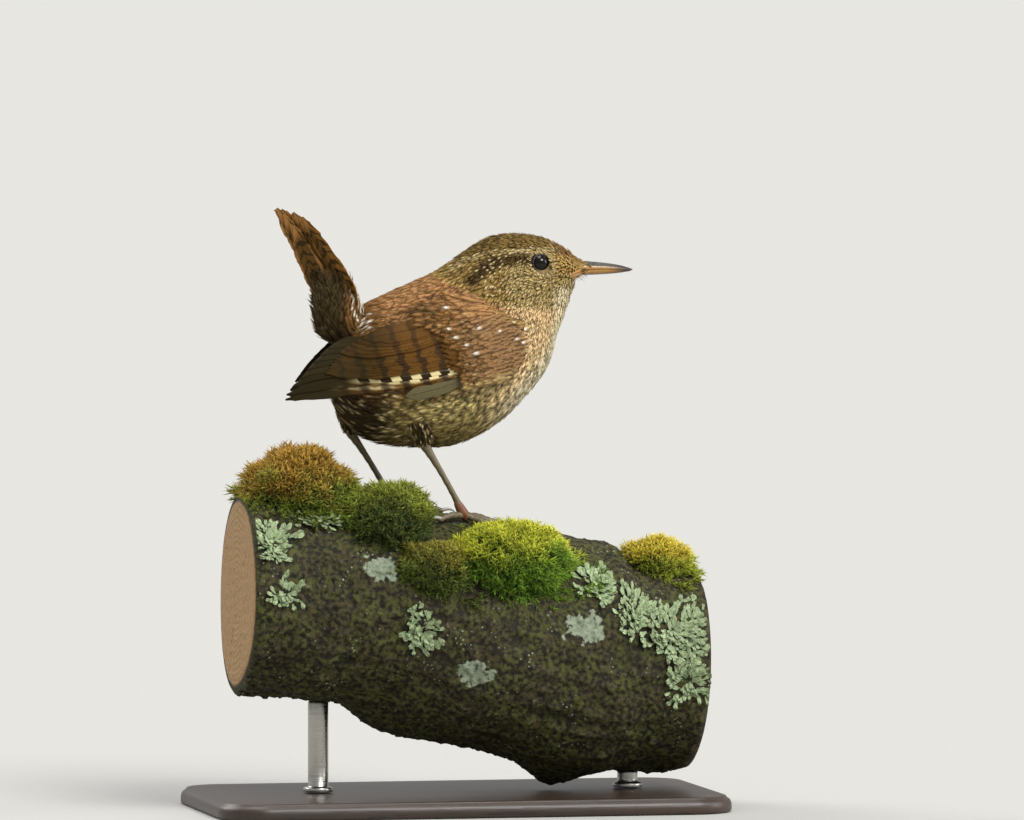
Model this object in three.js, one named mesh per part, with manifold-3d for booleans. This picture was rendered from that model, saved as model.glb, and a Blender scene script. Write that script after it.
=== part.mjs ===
// A wren standing on a short cut length of mossy branch, on a plain display stand.
// Millimetres, +Z up. The bird faces +X and its left side is +Y. The origin is on the floor,
// at the middle of the stand's base.
import * as THREE from "three";
import { mergeVertices } from "three/addons/utils/BufferGeometryUtils.js";
import Module from "manifold-3d";

const wasm = await Module();
wasm.setup();
const { Manifold, Mesh: RawMesh } = wasm;

// Driving dimensions
const GAP = 0.3; // room between pieces that meet
const RIGHT = -1; // the sign of Y on the bird's right side
const LEFT = 1;

const BASE = { length: 112, depth: 62, thickness: 3.6, corner: 10, bevel: 0.6 };
const ROD = { radius: 2.2, places: { rear: -30, front: 38 } };

// The branch's axis lies in the XZ plane: x, height and radius from the sawn rear end to the front one.
const BRANCH = [
  [-47.3, 46.5, 21.5],
  [-34.1, 46.0, 21.7],
  [-20.9, 44.4, 22.1],
  [-7.7, 40.5, 23.4],
  [5.5, 36.6, 24.4],
  [18.7, 34.0, 25.0],
  [30.6, 31.2, 24.3],
  [37.5, 30.2, 22.6],
  [51.7, 28.8, 21.0],
];
const BRANCH_SIDES = 24;
const KNOT = { at: [27, 0, 10.7], size: [6.3, 7, 5.4] };

// Moss cushions on the branch: centre and half sizes.
const MOSS = {
  mound: { at: [-34.2, -1, 66.4], size: [12.3, 12, 10.4], seed: 1 },
  dark: { at: [-16.8, -12.5, 62.2], size: [10.4, 6.8, 8.0], seed: 2 },
  bright: { at: [8.4, -18, 53.6], size: [13.2, 6.6, 8.2], seed: 3 },
  shade: { at: [-8.6, -19.5, 51.4], size: [8, 4.8, 6.4], seed: 4 },
  tuft: { at: [43.0, -3, 51.6], size: [7.6, 7, 4.9], seed: 5 },
};

// Slices through head and body. Each has its ridge and keel points (x, z) in the mid plane and its half width.
const SLICES = {
  billRoot: { ridge: [27.9, 117.4], keel: [27.3, 114.4], half: 1.9 },
  lores: { ridge: [25.7, 119.1], keel: [25.9, 112.0], half: 4.0 },
  brow: { ridge: [22.6, 121.1], keel: [24.8, 109.5], half: 5.8 },
  eyes: { ridge: [18.9, 122.6], keel: [23.5, 105.6], half: 7.1 },
  crown: { ridge: [13.2, 123.4], keel: [21.8, 101.1], half: 8.0 },
  hindCrown: { ridge: [7.3, 122.6], keel: [20.7, 96.8], half: 9.3 },
  nape: { ridge: [1.5, 119.2], keel: [18.7, 92.9], half: 11.0 },
  shoulder: { ridge: [-3.7, 115.7], keel: [14.7, 88.2], half: 12.8 },
  mantle: { ridge: [-8.8, 113.3], keel: [8.6, 82.6], half: 14.0 },
  back: { ridge: [-13.2, 111.4], keel: [0.0, 78.5], half: 14.3 },
  lowerBack: { ridge: [-16.9, 109.7], keel: [-8.8, 78.1], half: 13.8 },
  rump: { ridge: [-20.0, 108.2], keel: [-16.5, 78.9], half: 12.4 },
  vent: { ridge: [-22.6, 105.4], keel: [-22.6, 81.9], half: 9.8 },
  tailRoot: { ridge: [-24.8, 101.7], keel: [-26.2, 87.7], half: 6.5 },
  end: { ridge: [-26.6, 97.4], keel: [-27.3, 92.5], half: 2.5 },
};
const EGG = 0.12; // how much wider a slice is below its middle than above it
const BODY_STEPS = 25;
const BODY_SIDES = 24;

// The lines, from nape to throat, along which head, neck and torso part.
const CUTS = {
  head: [
    [0.7, 118.5],
    [25.1, 109.2],
  ],
  neck: [
    [-4.2, 115.3],
    [22.2, 101.7],
  ],
};

// The feathered root of the tail: centre (x, z), half depth, half width and twist in degrees.
const TAIL_ROOT = [
  [-20.0, 99.2, 5.4, 6.2, 0],
  [-25.1, 105.4, 5.4, 5.7, 10],
  [-26.4, 110.3, 4.4, 5.0, 30],
  [-27.4, 113.3, 3.1, 4.5, 45],
  [-29.3, 116.9, 1.9, 3.6, 50],
];

// The tail: where its axis starts, how steeply it is cocked and how far it is twisted about its axis.
const TAIL = { root: [-24.2, 106.7], rise: 119, twist: 50, thickness: 0.55, layer: 0.34 };
const TAIL_PAIRS = 6;
// How far each side's feathers stand from the axis, from the middle pair to the outer one.
const TAIL_FAN = {
  right: { root: [0.2, 2.5], tip: [-1.4, 3.7], length: [26.4, 21.0] },
  left: { root: [0.7, 0.9], tip: [-2.6, 0.2], length: [27.2, 21.0] },
};
const TAIL_START = -3;
const TAIL_HALF = 2.35;

// The folded wing is laid out from the wrist: a runs to the tip, b up across the feathers.
const WRIST = [11.7, 98.6];
const WING_DROOP = 11.8; // degrees that the folded wing points below the level
const WING_LENGTH = 49.7;
const WING_PATCH = { middle: [6.4, 4.4], size: [8.2, 8.4], thickness: 1.25 };
// Half width of the folded wings where they stand clear of the body, by x.
const WING_SPREAD = [
  [-38, 4.6],
  [-29, 8.0],
  [-20, 10.9],
  [-12, 11.9],
  [-4, 11.6],
  [4, 10.2],
  [14, 7.0],
];
const VANE = 0.55; // thickness of a feather's vane

const EYE = { at: [17.5, 4.75, 117.1], radius: 2.3, lid: 1.95, rim: 0.36 };
const BILL = { root: 28.2, tip: 39.0, half: 1.75 };
const NOSTRIL = { at: [30.6, 1.25, 117.0], size: [0.95, 0.5, 0.34] };

// Legs: heel, and where the toes part; the foot's height comes from the branch.
const LEGS = {
  right: { side: RIGHT, hip: [-10.6, 8.0, 85.6], heel: [-8.2, 8.0, 78.4], foot: [0.5, 7.0] },
  left: { side: LEFT, hip: [-21.0, 6.4, 88], heel: [-21.2, 8.0, 80.5], foot: [-12.6, 7.0] },
};
const SHANK = { top: 1.12, middle: 0.74, bottom: 1.0 };
const THIGH = { top: 4.3, knee: 2.6 };
const PAD = 1.15;
// Toes: bearing from straight ahead towards the outer side in degrees, length, and length of the claw.
const TOES = {
  hallux: { bearing: 148, length: 6.8, claw: 4.6 },
  inner: { bearing: -24, length: 7.4, claw: 3.2 },
  middle: { bearing: -3, length: 11.0, claw: 3.6 },
  outer: { bearing: 15, length: 8.6, claw: 3.2 },
};
const TOE = { root: 0.86, tip: 0.6, arch: 0.35 };
const CLAW = { root: 0.46, tip: 0.12 };

// Small helpers
const v3 = (x, y, z) => new THREE.Vector3(x, y, z);
const lerp = THREE.MathUtils.lerp;
const rad = THREE.MathUtils.degToRad;
const share = (i, count) => i / (count - 1);

// Reads a row of values at x from rows sorted by x, smoothly.
function rowAt(rows, x) {
  const last = rows.length - 1;
  const found = rows.findIndex((row) => row[0] > x);
  const i = found < 0 ? last - 1 : Math.max(0, found - 1);
  const t = THREE.MathUtils.clamp((x - rows[i][0]) / (rows[i + 1][0] - rows[i][0]), 0, 1);
  const slope = (k, c) => {
    const [lo, hi] = [Math.max(0, k - 1), Math.min(last, k + 1)];
    return (rows[hi][c] - rows[lo][c]) / (rows[hi][0] - rows[lo][0]);
  };
  const run = rows[i + 1][0] - rows[i][0];
  return rows[i].slice(1).map((p, n) => {
    const c = n + 1;
    const q = rows[i + 1][c];
    const [h1, h2] = [2 * t ** 3 - 3 * t * t + 1, t ** 3 - 2 * t * t + t];
    return h1 * p + (1 - h1) * q + run * (h2 * slope(i, c) + (t ** 3 - t * t) * slope(i + 1, c));
  });
}

// A closed solid from three.js geometry.
function solidOf(geometry) {
  const bare = new THREE.BufferGeometry();
  bare.setAttribute("position", geometry.getAttribute("position"));
  bare.setIndex(geometry.getIndex());
  const merged = mergeVertices(bare, 1e-4);
  const solid = new Manifold(
    new RawMesh({
      numProp: 3,
      vertProperties: new Float32Array(merged.attributes.position.array),
      triVerts: new Uint32Array(merged.index.array),
    }),
  );
  if (solid.volume() > 0) return solid;
  const index = merged.index.array;
  const turned = new Uint32Array(index.length);
  for (let i = 0; i < index.length; i += 3) turned.set([index[i], index[i + 2], index[i + 1]], i);
  return new Manifold(
    new RawMesh({
      numProp: 3,
      vertProperties: new Float32Array(merged.attributes.position.array),
      triVerts: turned,
    }),
  );
}

function geometryFrom(points, index) {
  const geometry = new THREE.BufferGeometry();
  const flat = new Float32Array(points.flatMap((p) => [p.x, p.y, p.z]));
  geometry.setAttribute("position", new THREE.BufferAttribute(flat, 3));
  geometry.setIndex(index);
  return geometry;
}

// three.js geometry of a solid's largest closed surface.
function geometryOf(solid) {
  const kept = solid.decompose().sort((a, b) => b.volume() - a.volume())[0];
  const { vertProperties, triVerts } = kept.getMesh();
  const geometry = new THREE.BufferGeometry();
  geometry.setAttribute("position", new THREE.BufferAttribute(vertProperties, 3));
  geometry.setIndex(new THREE.BufferAttribute(triVerts, 1));
  geometry.computeVertexNormals();
  return geometry;
}

const join = (solids) => solids.reduce((made, next) => made.add(next));

// Skins a row of rings, with an end closed by a fan round each outer ring's middle.
function loft(rings) {
  const n = rings[0].length;
  const points = rings.flat();
  const index = [];
  for (let j = 0; j < rings.length - 1; j++) {
    for (let k = 0; k < n; k++) {
      const a = j * n + k;
      const b = j * n + ((k + 1) % n);
      index.push(a, b, b + n, a, b + n, a + n);
    }
  }
  const close = (start, flip) => {
    const middle = v3(0, 0, 0);
    for (let k = 0; k < n; k++) middle.addScaledVector(points[start + k], 1 / n);
    points.push(middle);
    for (let k = 0; k < n; k++) {
      const [a, b] = [start + k, start + ((k + 1) % n)];
      index.push(points.length - 1, ...(flip ? [b, a] : [a, b]));
    }
  };
  close(0, true);
  close((rings.length - 1) * n, false);
  return solidOf(geometryFrom(points, index));
}

// A ring of points round a centre, in the plane of two half axes.
function ring(centre, halfUp, halfSide, n) {
  return Array.from({ length: n }, (_, k) => {
    const turn = (2 * Math.PI * k) / n;
    return centre
      .clone()
      .addScaledVector(halfUp, Math.cos(turn))
      .addScaledVector(halfSide, Math.sin(turn));
  });
}

// A round limb through the given points, with a radius at each and domed ends.
function limb(points, radii, n, reference = v3(0, 1, 0)) {
  const rings = [];
  const last = points.length - 1;
  points.forEach((point, i) => {
    const along = points[Math.min(last, i + 1)].clone().sub(points[Math.max(0, i - 1)]).normalize();
    const up = reference.clone().cross(along).normalize();
    const side = along.clone().cross(up);
    const round = (centre, r) =>
      rings.push(ring(centre, up.clone().multiplyScalar(r), side.clone().multiplyScalar(r), n));
    const r = radii[i];
    if (i === 0) round(point.clone().addScaledVector(along, -0.7 * r), 0.6 * r);
    round(point, r);
    if (i === last) round(point.clone().addScaledVector(along, 0.7 * r), 0.6 * r);
  });
  return loft(rings);
}

function ellipsoid(at, size, detail = 3) {
  const geometry = new THREE.IcosahedronGeometry(1, detail);
  geometry.scale(...size);
  geometry.translate(...at);
  return solidOf(geometry);
}

// A thin plate from a grid of [outer, inner] points, split into triangles alike on both faces.
function plate(grid) {
  const columns = grid[0].length;
  const points = grid.flat(2);
  const index = [];
  const at = (j, c) => 2 * (j * columns + c);
  const rim = (p, q) => index.push(q, p, p + 1, q, p + 1, q + 1);
  for (let j = 0; j < grid.length - 1; j++) {
    for (let c = 0; c < columns - 1; c++) {
      const [a, b, d, e] = [at(j, c), at(j, c + 1), at(j + 1, c + 1), at(j + 1, c)];
      index.push(a, b, d, a, d, e, a + 1, d + 1, b + 1, a + 1, e + 1, d + 1);
    }
    rim(at(j, columns - 1), at(j + 1, columns - 1));
    rim(at(j + 1, 0), at(j, 0));
  }
  for (let c = 0; c < columns - 1; c++) {
    rim(at(0, c), at(0, c + 1));
    rim(at(grid.length - 1, c + 1), at(grid.length - 1, c));
  }
  return solidOf(geometryFrom(points, index));
}

// Body

const SLICE_LIST = Object.values(SLICES);
const ridgeLine = new THREE.CatmullRomCurve3(
  SLICE_LIST.map(({ ridge: [x, z] }) => v3(x, 0, z)),
  false,
  "catmullrom",
);
// The keel line carries the half width in y.
const keelLine = new THREE.CatmullRomCurve3(
  SLICE_LIST.map(({ keel: [x, z], half }) => v3(x, half, z)),
  false,
  "catmullrom",
);

function sliceAt(t) {
  const ridge = ridgeLine.getPoint(t);
  const keel = keelLine.getPoint(t);
  const half = keel.y;
  keel.y = 0;
  return { ridge, keel, half };
}

// Head, neck and torso in one, grown by a margin on every side.
function wholeBody(grow = 0) {
  const rings = [];
  for (let j = 0; j < BODY_STEPS; j++) {
    const { ridge, keel, half } = sliceAt(share(j, BODY_STEPS));
    const centre = ridge.clone().add(keel).multiplyScalar(0.5);
    const up = ridge.clone().sub(keel).multiplyScalar(0.5);
    if (j === BODY_STEPS - 1) centre.x -= grow;
    if (j === 0) centre.x += grow;
    up.setLength(up.length() + grow);
    rings.push(
      Array.from({ length: BODY_SIDES }, (_, k) => {
        const turn = (2 * Math.PI * k) / BODY_SIDES;
        const u = Math.cos(turn);
        return centre
          .clone()
          .addScaledVector(up, u)
          .add(v3(0, (half + grow) * Math.sin(turn) * (1 - EGG * u), 0));
      }),
    );
  }
  return loft(rings);
}

// Half width of the body at a point of the mid plane, or 0 outside its outline.
function bodyHalfWidth(x, z) {
  let [lo, hi] = [0, 1];
  for (let i = 0; i < 22; i++) {
    const mid = (lo + hi) / 2;
    const { ridge, keel } = sliceAt(mid);
    const beyond = (ridge.x - keel.x) * (z - keel.z) - (ridge.z - keel.z) * (x - keel.x);
    if (beyond < 0) hi = mid;
    else lo = mid;
  }
  if (lo < 1e-4 || lo > 1 - 1e-4) return 0;
  const { ridge, keel, half } = sliceAt(lo);
  const line = ridge.clone().sub(keel);
  const fromKeel = v3(x, 0, z).sub(keel);
  const u = (2 * fromKeel.dot(line)) / line.lengthSq() - 1;
  return Math.abs(u) >= 1 ? 0 : half * Math.sqrt(1 - u * u) * (1 - EGG * u);
}

// A thin slab through two points of the mid plane, as wide as the bird.
function cutSlab([[x1, z1], [x2, z2]]) {
  const slab = new THREE.BoxGeometry(90, 60, GAP);
  slab.rotateY(Math.atan2(z1 - z2, x2 - x1));
  slab.translate((x1 + x2) / 2, 0, (z1 + z2) / 2);
  return solidOf(slab);
}

const eyeBall = (side, grow = 0) =>
  ellipsoid([EYE.at[0], side * EYE.at[1], EYE.at[2]], Array(3).fill(EYE.radius + grow), 3);

// The raised ring of the lids round an eye.
function lids(side) {
  const rim = new THREE.TorusGeometry(EYE.lid, EYE.rim, 6, 18);
  rim.scale(1, 1, 1.3);
  rim.rotateX(Math.PI / 2);
  rim.rotateZ(side * rad(-14));
  rim.rotateX(side * rad(8));
  rim.translate(EYE.at[0] + 0.3, side * (EYE.at[1] + 1.22), EYE.at[2] + 0.1);
  return solidOf(rim);
}

function headNeckTorso() {
  const parts = wholeBody().subtract(cutSlab(CUTS.head)).subtract(cutSlab(CUTS.neck)).decompose();
  const height = (solid) => {
    const { min, max } = solid.boundingBox();
    return min[2] + max[2];
  };
  const [torso, neck, bareHead] = parts.sort((a, b) => height(a) - height(b));
  let head = bareHead;
  for (const side of [RIGHT, LEFT]) head = head.add(lids(side)).subtract(eyeBall(side, GAP));
  const gape = new THREE.BoxGeometry(4.2, 14, GAP);
  gape.rotateY(rad(9));
  gape.translate(26.2, 0, 115.3);
  return { head: head.subtract(solidOf(gape)), neck, torso };
}

// Bill

// Heights of culmen, mouth line and gonys, and the half width, from root to tip.
function billAt(t) {
  const x = lerp(BILL.root, BILL.tip, t);
  const mouth = 115.75 - 0.35 * t + 0.15 * Math.sin(Math.PI * t);
  const culmen = 117.45 - 1.0 * t - 0.85 * t ** 4;
  const gonys = 114.4 + 0.3 * t + 0.6 * t ** 3;
  return { x, mouth, culmen, gonys, half: BILL.half * (1 - t) ** 0.8 + 0.24 };
}

function mandible(upper) {
  const steps = 9;
  const sides = 10;
  const rings = [];
  for (let j = 0; j < steps; j++) {
    const t = share(j, steps) * (upper ? 1 : 0.96);
    const { x, mouth, culmen, gonys, half } = billAt(t);
    const edge = mouth + (upper ? GAP / 2 : -GAP / 2);
    const far = upper ? Math.max(culmen, edge + 0.35) : Math.min(gonys, edge - 0.3);
    const points = [];
    for (let k = 0; k < sides; k++) {
      const turn = (2 * Math.PI * k) / sides;
      const rise = Math.max(0, Math.cos(turn) + 0.25) / 1.25;
      points.push(v3(x, half * Math.sin(turn), lerp(edge, far, rise)));
    }
    rings.push(points);
  }
  return loft(rings);
}

function upperBill() {
  const [x, y, z] = NOSTRIL.at;
  return [RIGHT, LEFT].reduce(
    (bill, side) => bill.subtract(ellipsoid([x, side * y, z], NOSTRIL.size, 1)),
    mandible(true),
  );
}

// Tail

function tailRoot(grow = 0) {
  const n = 20;
  const last = TAIL_ROOT.length - 1;
  const rings = TAIL_ROOT.map(([x, z, depth, half, twist], i) => {
    const [before, after] = [TAIL_ROOT[Math.max(0, i - 1)], TAIL_ROOT[Math.min(last, i + 1)]];
    const along = v3(after[0] - before[0], 0, after[1] - before[1]).normalize();
    const face = v3(along.z, 0, -along.x);
    const upper = face.clone().applyAxisAngle(along, -rad(twist));
    const side = v3(0, 1, 0).applyAxisAngle(along, -rad(twist));
    const centre = v3(x, 0, z).addScaledVector(along, i === last ? grow : 0);
    return ring(centre, upper.multiplyScalar(depth + grow), side.multiplyScalar(half + grow), n);
  });
  return loft(rings);
}

// A point of the twisted tail: along its axis, across to the bird's right, and out from its upper face.
function tailPoint(along, across, out) {
  const axis = v3(Math.cos(rad(TAIL.rise)), 0, Math.sin(rad(TAIL.rise)));
  const face = v3(axis.z, 0, -axis.x);
  const [c, s] = [Math.cos(rad(TAIL.twist)), Math.sin(rad(TAIL.twist))];
  const right = face.clone().multiplyScalar(s).add(v3(0, -c, 0));
  const upper = face.clone().multiplyScalar(c).add(v3(0, s, 0));
  return v3(TAIL.root[0], 0, TAIL.root[1])
    .addScaledVector(axis, along)
    .addScaledVector(right, across)
    .addScaledVector(upper, out);
}

// How wide a feather is at a share of its length, against its widest.
function featherOutline(t, point) {
  const rise = 0.45 + 0.55 * Math.min(1, t / 0.4);
  const from = 1 - point;
  const fall = t < from ? 1 : Math.sqrt(Math.max(0.03, 1 - ((t - from) / point) ** 2));
  return rise * fall;
}

function tailFeather(side, k) {
  const s = share(k, TAIL_PAIRS);
  const right = side === RIGHT;
  const { root, tip, length } = TAIL_FAN[right ? "right" : "left"];
  const level = TAIL.layer * (2.5 - k - (right ? 0 : 0.5));
  const droop = rad(2 + 2.6 * k) * (right ? 1 : -0.5);
  const grid = [0, 0.3, 0.55, 0.78, 0.93, 1].map((t) => {
    const half = TAIL_HALF * featherOutline(t, 0.3);
    return [-1, 0, 1].map((c) => {
      const across = lerp(lerp(...root, s), lerp(...tip, s), t * Math.sqrt(t)) + c * half;
      const out = level - c * half * Math.sin(droop) - 0.16 * Math.abs(c) - 0.5 * t * t;
      const along = lerp(TAIL_START, lerp(...length, s ** 1.2), t) - 0.5 * Math.abs(c);
      return [tailPoint(along, across, out), tailPoint(along, across, out - TAIL.thickness)];
    });
  });
  return plate(grid);
}

function tail() {
  const feathers = [];
  for (let k = TAIL_PAIRS - 1; k >= 0; k--) {
    feathers.push(tailFeather(RIGHT, k), tailFeather(LEFT, k));
  }
  return join(feathers).subtract(tailRoot(GAP));
}

// Wings

function wingPlane(a, b) {
  const [c, s] = [Math.cos(rad(WING_DROOP)), Math.sin(rad(WING_DROOP))];
  return [WRIST[0] - a * c - b * s, WRIST[1] - a * s + b * c];
}

// Half width of the surface that the folded wing lies on: the body, or the wing's own spread behind it.
function wingBed(x, z) {
  const [spread] = rowAt(WING_SPREAD, x);
  const above = Math.max(0, z - (WRIST[1] + 1 + (x - WRIST[0]) * 0.2));
  const own = spread - 0.055 * above ** 2;
  const body = bodyHalfWidth(x, z);
  return (own + body + Math.sqrt((own - body) ** 2 + 0.5)) / 2 + GAP;
}

// A point over the wing's bed, at a height along the bed's own normal.
function wingPoint(side, a, b, height) {
  const [x, z] = wingPlane(a, b);
  const step = 0.6;
  const slopeX = (wingBed(x + step, z) - wingBed(x - step, z)) / (2 * step);
  const slopeZ = (wingBed(x, z + step) - wingBed(x, z - step)) / (2 * step);
  const normal = v3(-slopeX, 1, -slopeZ).normalize();
  const point = v3(x, wingBed(x, z), z).addScaledVector(normal, height);
  point.y *= side;
  return point;
}

// A wing feather from root to tip in the wing's own plane, with its lower edge lying outermost.
function wingFeather(side, { root, tip, half, lift, tilt = 0.34, point = 0.28, bow = 0 }) {
  const shares = half > 1.8 ? [0, 0.35, 0.7, 0.9, 1] : [0, 0.5, 0.86, 1];
  const run = Math.hypot(tip[0] - root[0], tip[1] - root[1]);
  const across = [-(tip[1] - root[1]) / run, (tip[0] - root[0]) / run];
  const grid = shares.map((t) => {
    const width = half * featherOutline(t, point);
    return (half > 2.3 ? [-1, 0, 1] : [-1, 1]).map((c) => {
      const sag = bow * Math.sin(Math.PI * t);
      const a = lerp(root[0], tip[0], t) + across[0] * (c * width + sag);
      const b = lerp(root[1], tip[1], t) + across[1] * (c * width + sag);
      const height = lerp(...lift, t) - tilt * c * (width / half) + (c === 0 ? 0.08 : 0);
      return [height + VANE, height].map((h) => wingPoint(side, a, b, h));
    });
  });
  return plate(grid);
}

// The rows of feathers of one wing, from the undermost outer primary to the small coverts over the wrist.
function wingRows() {
  const rows = [];
  const row = (count, feather) => {
    for (let i = 0; i < count; i++) rows.push(feather(share(i, count), i));
  };
  // primaries, from the outermost up
  row(7, (s) => ({
    root: [6 + 3 * s, -1.4 + 2.2 * s],
    tip: [
      s < 0.35 ? WING_LENGTH - 4.2 * (1 - s / 0.35) ** 2 : WING_LENGTH - 7.5 * ((s - 0.35) / 0.65) ** 1.2,
      0.3 + 3.6 * s,
    ],
    half: 1.95,
    lift: [0.35, 0.3 + 0.5 * s],
    point: 0.4,
    bow: -0.7,
  }));
  // secondaries
  row(5, (s) => ({
    root: [9 + 2 * s, 1.4 + 4.3 * s],
    tip: [40.6 + Math.sin(Math.PI * s), 4.2 + 2.4 * s],
    half: 2.2,
    lift: [0.5, 0.85],
    bow: -0.7,
  }));
  // tertials
  row(3, (s) => ({
    root: [11.5 + 2 * s, 7.0 + 2.4 * s],
    tip: [40 - 5.5 * s, 6.8 + 1.8 * s],
    half: 2.5,
    lift: [0.7, 1.15 + 0.2 * s],
    point: 0.24,
    bow: -0.4,
  }));
  // alula and the coverts of the primaries, along the lower edge
  row(3, (s) => ({
    root: [2.6 + 2 * s, -2.6 + 0.9 * s],
    tip: [14.2 + 1.6 * s, -2.9 + 1.7 * s],
    half: 1.15,
    lift: [0.6, 1.1],
  }));
  // greater coverts
  row(6, (s) => ({
    root: [5 + 3 * s, -0.5 + 9.2 * s],
    tip: [16.2 + 1.8 * s, -0.2 + 9.5 * s],
    half: 1.55,
    lift: [0.8, 1.45],
  }));
  // median coverts
  row(5, (s) => ({
    root: [2.2 + 4 * s, 0.6 + 9.8 * s],
    tip: [10.6 + 4.4 * s, 0.6 + 10.2 * s],
    half: 1.7,
    lift: [0.9, 1.95],
  }));
  return rows;
}

// The fleshy fore part of the folded wing, which all its feathers grow from.
function wingPatch(side) {
  const rows = 7;
  const { middle, size, thickness } = WING_PATCH;
  const grid = Array.from({ length: rows }, (_, j) => {
    const a = lerp(-0.96, 0.96, share(j, rows));
    return [-1, -0.5, 0, 0.5, 1].map((c) => {
      const b = c * Math.sqrt(1 - a * a);
      const crown = thickness * (1 - 0.35 * (a * a + b * b));
      const at = [middle[0] + a * size[0], middle[1] + b * size[1]];
      return [wingPoint(side, ...at, crown), wingPoint(side, ...at, 0.02)];
    });
  });
  return plate(grid);
}

function wing(side) {
  const feathers = wingRows().map((feather) => wingFeather(side, feather));
  return join([wingPatch(side), ...feathers]).subtract(wholeBody(GAP));
}

// Branch, moss and stand

// Height of the branch's upper surface over a point of the floor plan.
function branchTop(x, y) {
  const [z, radius] = rowAt(BRANCH, x);
  const slope = (rowAt(BRANCH, x + 1)[0] - rowAt(BRANCH, x - 1)[0]) / 2;
  return z + Math.sqrt(radius * radius - y * y) * Math.hypot(1, slope);
}

function branch(grow = 0) {
  const steps = 15;
  const rings = [];
  for (let j = 0; j < steps; j++) {
    const x = lerp(BRANCH[0][0], BRANCH.at(-1)[0], share(j, steps));
    const [z, radius] = rowAt(BRANCH, x);
    const slope = (rowAt(BRANCH, x + 1)[0] - rowAt(BRANCH, x - 1)[0]) / 2;
    const along = v3(1, 0, slope).normalize();
    const up = v3(-along.z, 0, along.x);
    const end = j === 0 ? -grow : j === steps - 1 ? grow : 0;
    const centre = v3(x, 0, z).addScaledVector(along, end);
    rings.push(
      Array.from({ length: BRANCH_SIDES }, (_, k) => {
        const turn = (2 * Math.PI * k) / BRANCH_SIDES;
        const below = (1 - Math.cos(turn)) / 2;
        const swell = 0.7 * below * (Math.sin(3 * turn + 0.13 * x) + Math.sin(2 * turn - 0.21 * x));
        return centre
          .clone()
          .addScaledVector(up, (radius + swell + grow) * Math.cos(turn))
          .add(v3(0, (radius + swell + grow) * Math.sin(turn), 0));
      }),
    );
  }
  const knot = ellipsoid(KNOT.at, KNOT.size.map((s) => s + grow), 2);
  return loft(rings).add(knot);
}

function mossLump({ at, size, seed }, grow = 0) {
  const cushion = new THREE.IcosahedronGeometry(1, 3);
  const position = cushion.getAttribute("position");
  const point = v3(0, 0, 0);
  for (let i = 0; i < position.count; i++) {
    point.fromBufferAttribute(position, i);
    const bumps = Math.sin(4 * point.x + seed) * Math.sin(4.6 * point.y + 2 * seed);
    point.multiplyScalar(1 + 0.07 * bumps + 0.04 * Math.sin(9 * point.z + 5 * point.x + seed));
    position.setXYZ(i, point.x, point.y, point.z);
  }
  cushion.scale(...size.map((half) => half + grow));
  cushion.translate(...at);
  return solidOf(cushion);
}

// A cushion lying on the branch, clear of the feet and of the cushions named before it.
function mossCushion(name) {
  const names = Object.keys(MOSS);
  const before = names.slice(0, names.indexOf(name)).map((other) => mossLump(MOSS[other], GAP));
  const feet = Object.values(LEGS).flatMap((leg) => [
    foot(leg, GAP),
    ...Object.values(TOES).map((toe) => claw(leg, toe, GAP)),
  ]);
  return mossLump(MOSS[name]).subtract(join([branch(GAP), ...before, ...feet]));
}

function standBase() {
  const { length, depth, thickness, corner, bevel } = BASE;
  const [x, y] = [length / 2 - corner - bevel, depth / 2 - corner - bevel];
  const outline = new THREE.Shape();
  [
    [x, y, 0],
    [-x, y, 90],
    [-x, -y, 180],
    [x, -y, 270],
  ].forEach(([cx, cy, start]) => outline.absarc(cx, cy, corner, rad(start), rad(start + 90)));
  const slab = new THREE.ExtrudeGeometry(outline, {
    depth: thickness - 2 * bevel,
    bevelThickness: bevel,
    bevelSize: bevel,
    bevelSegments: 1,
    curveSegments: 5,
  });
  slab.translate(0, 0, bevel);
  return solidOf(slab);
}

function standRod(x) {
  const [axis] = rowAt(BRANCH, x);
  const foot = BASE.thickness + GAP;
  const rod = new THREE.CylinderGeometry(ROD.radius, ROD.radius, axis - foot, 24);
  rod.rotateX(Math.PI / 2);
  rod.translate(x, 0, (axis + foot) / 2);
  return solidOf(rod).subtract(branch(GAP));
}

// Legs

function footCentre({ side, foot: [x, y] }) {
  return v3(x, side * y, branchTop(x, side * y) + PAD + GAP);
}

// The points that a toe runs through, over the branch.
function toePath(leg, { bearing, length }) {
  const centre = footCentre(leg);
  const steps = 5;
  return Array.from({ length: steps }, (_, i) => {
    const s = share(i, steps);
    const [x, y] = [
      centre.x + s * length * Math.cos(rad(bearing)),
      centre.y + leg.side * s * length * Math.sin(rad(bearing)),
    ];
    const radius = lerp(TOE.root, TOE.tip, s);
    const lift = i === 0 ? PAD : radius + TOE.arch * Math.sin(Math.PI * s) + 0.1;
    return v3(x, y, branchTop(x, y) + GAP + lift);
  });
}

function foot(leg, grow = 0) {
  const pad = ellipsoid(footCentre(leg).toArray(), Array(3).fill(PAD + grow), 2);
  const toes = Object.values(TOES).map((toe) => {
    const path = toePath(leg, toe);
    const radii = path.map((_, i) => lerp(TOE.root, TOE.tip, share(i, path.length)) + grow);
    return limb(path, radii, 7);
  });
  return join([pad, ...toes]);
}

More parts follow.
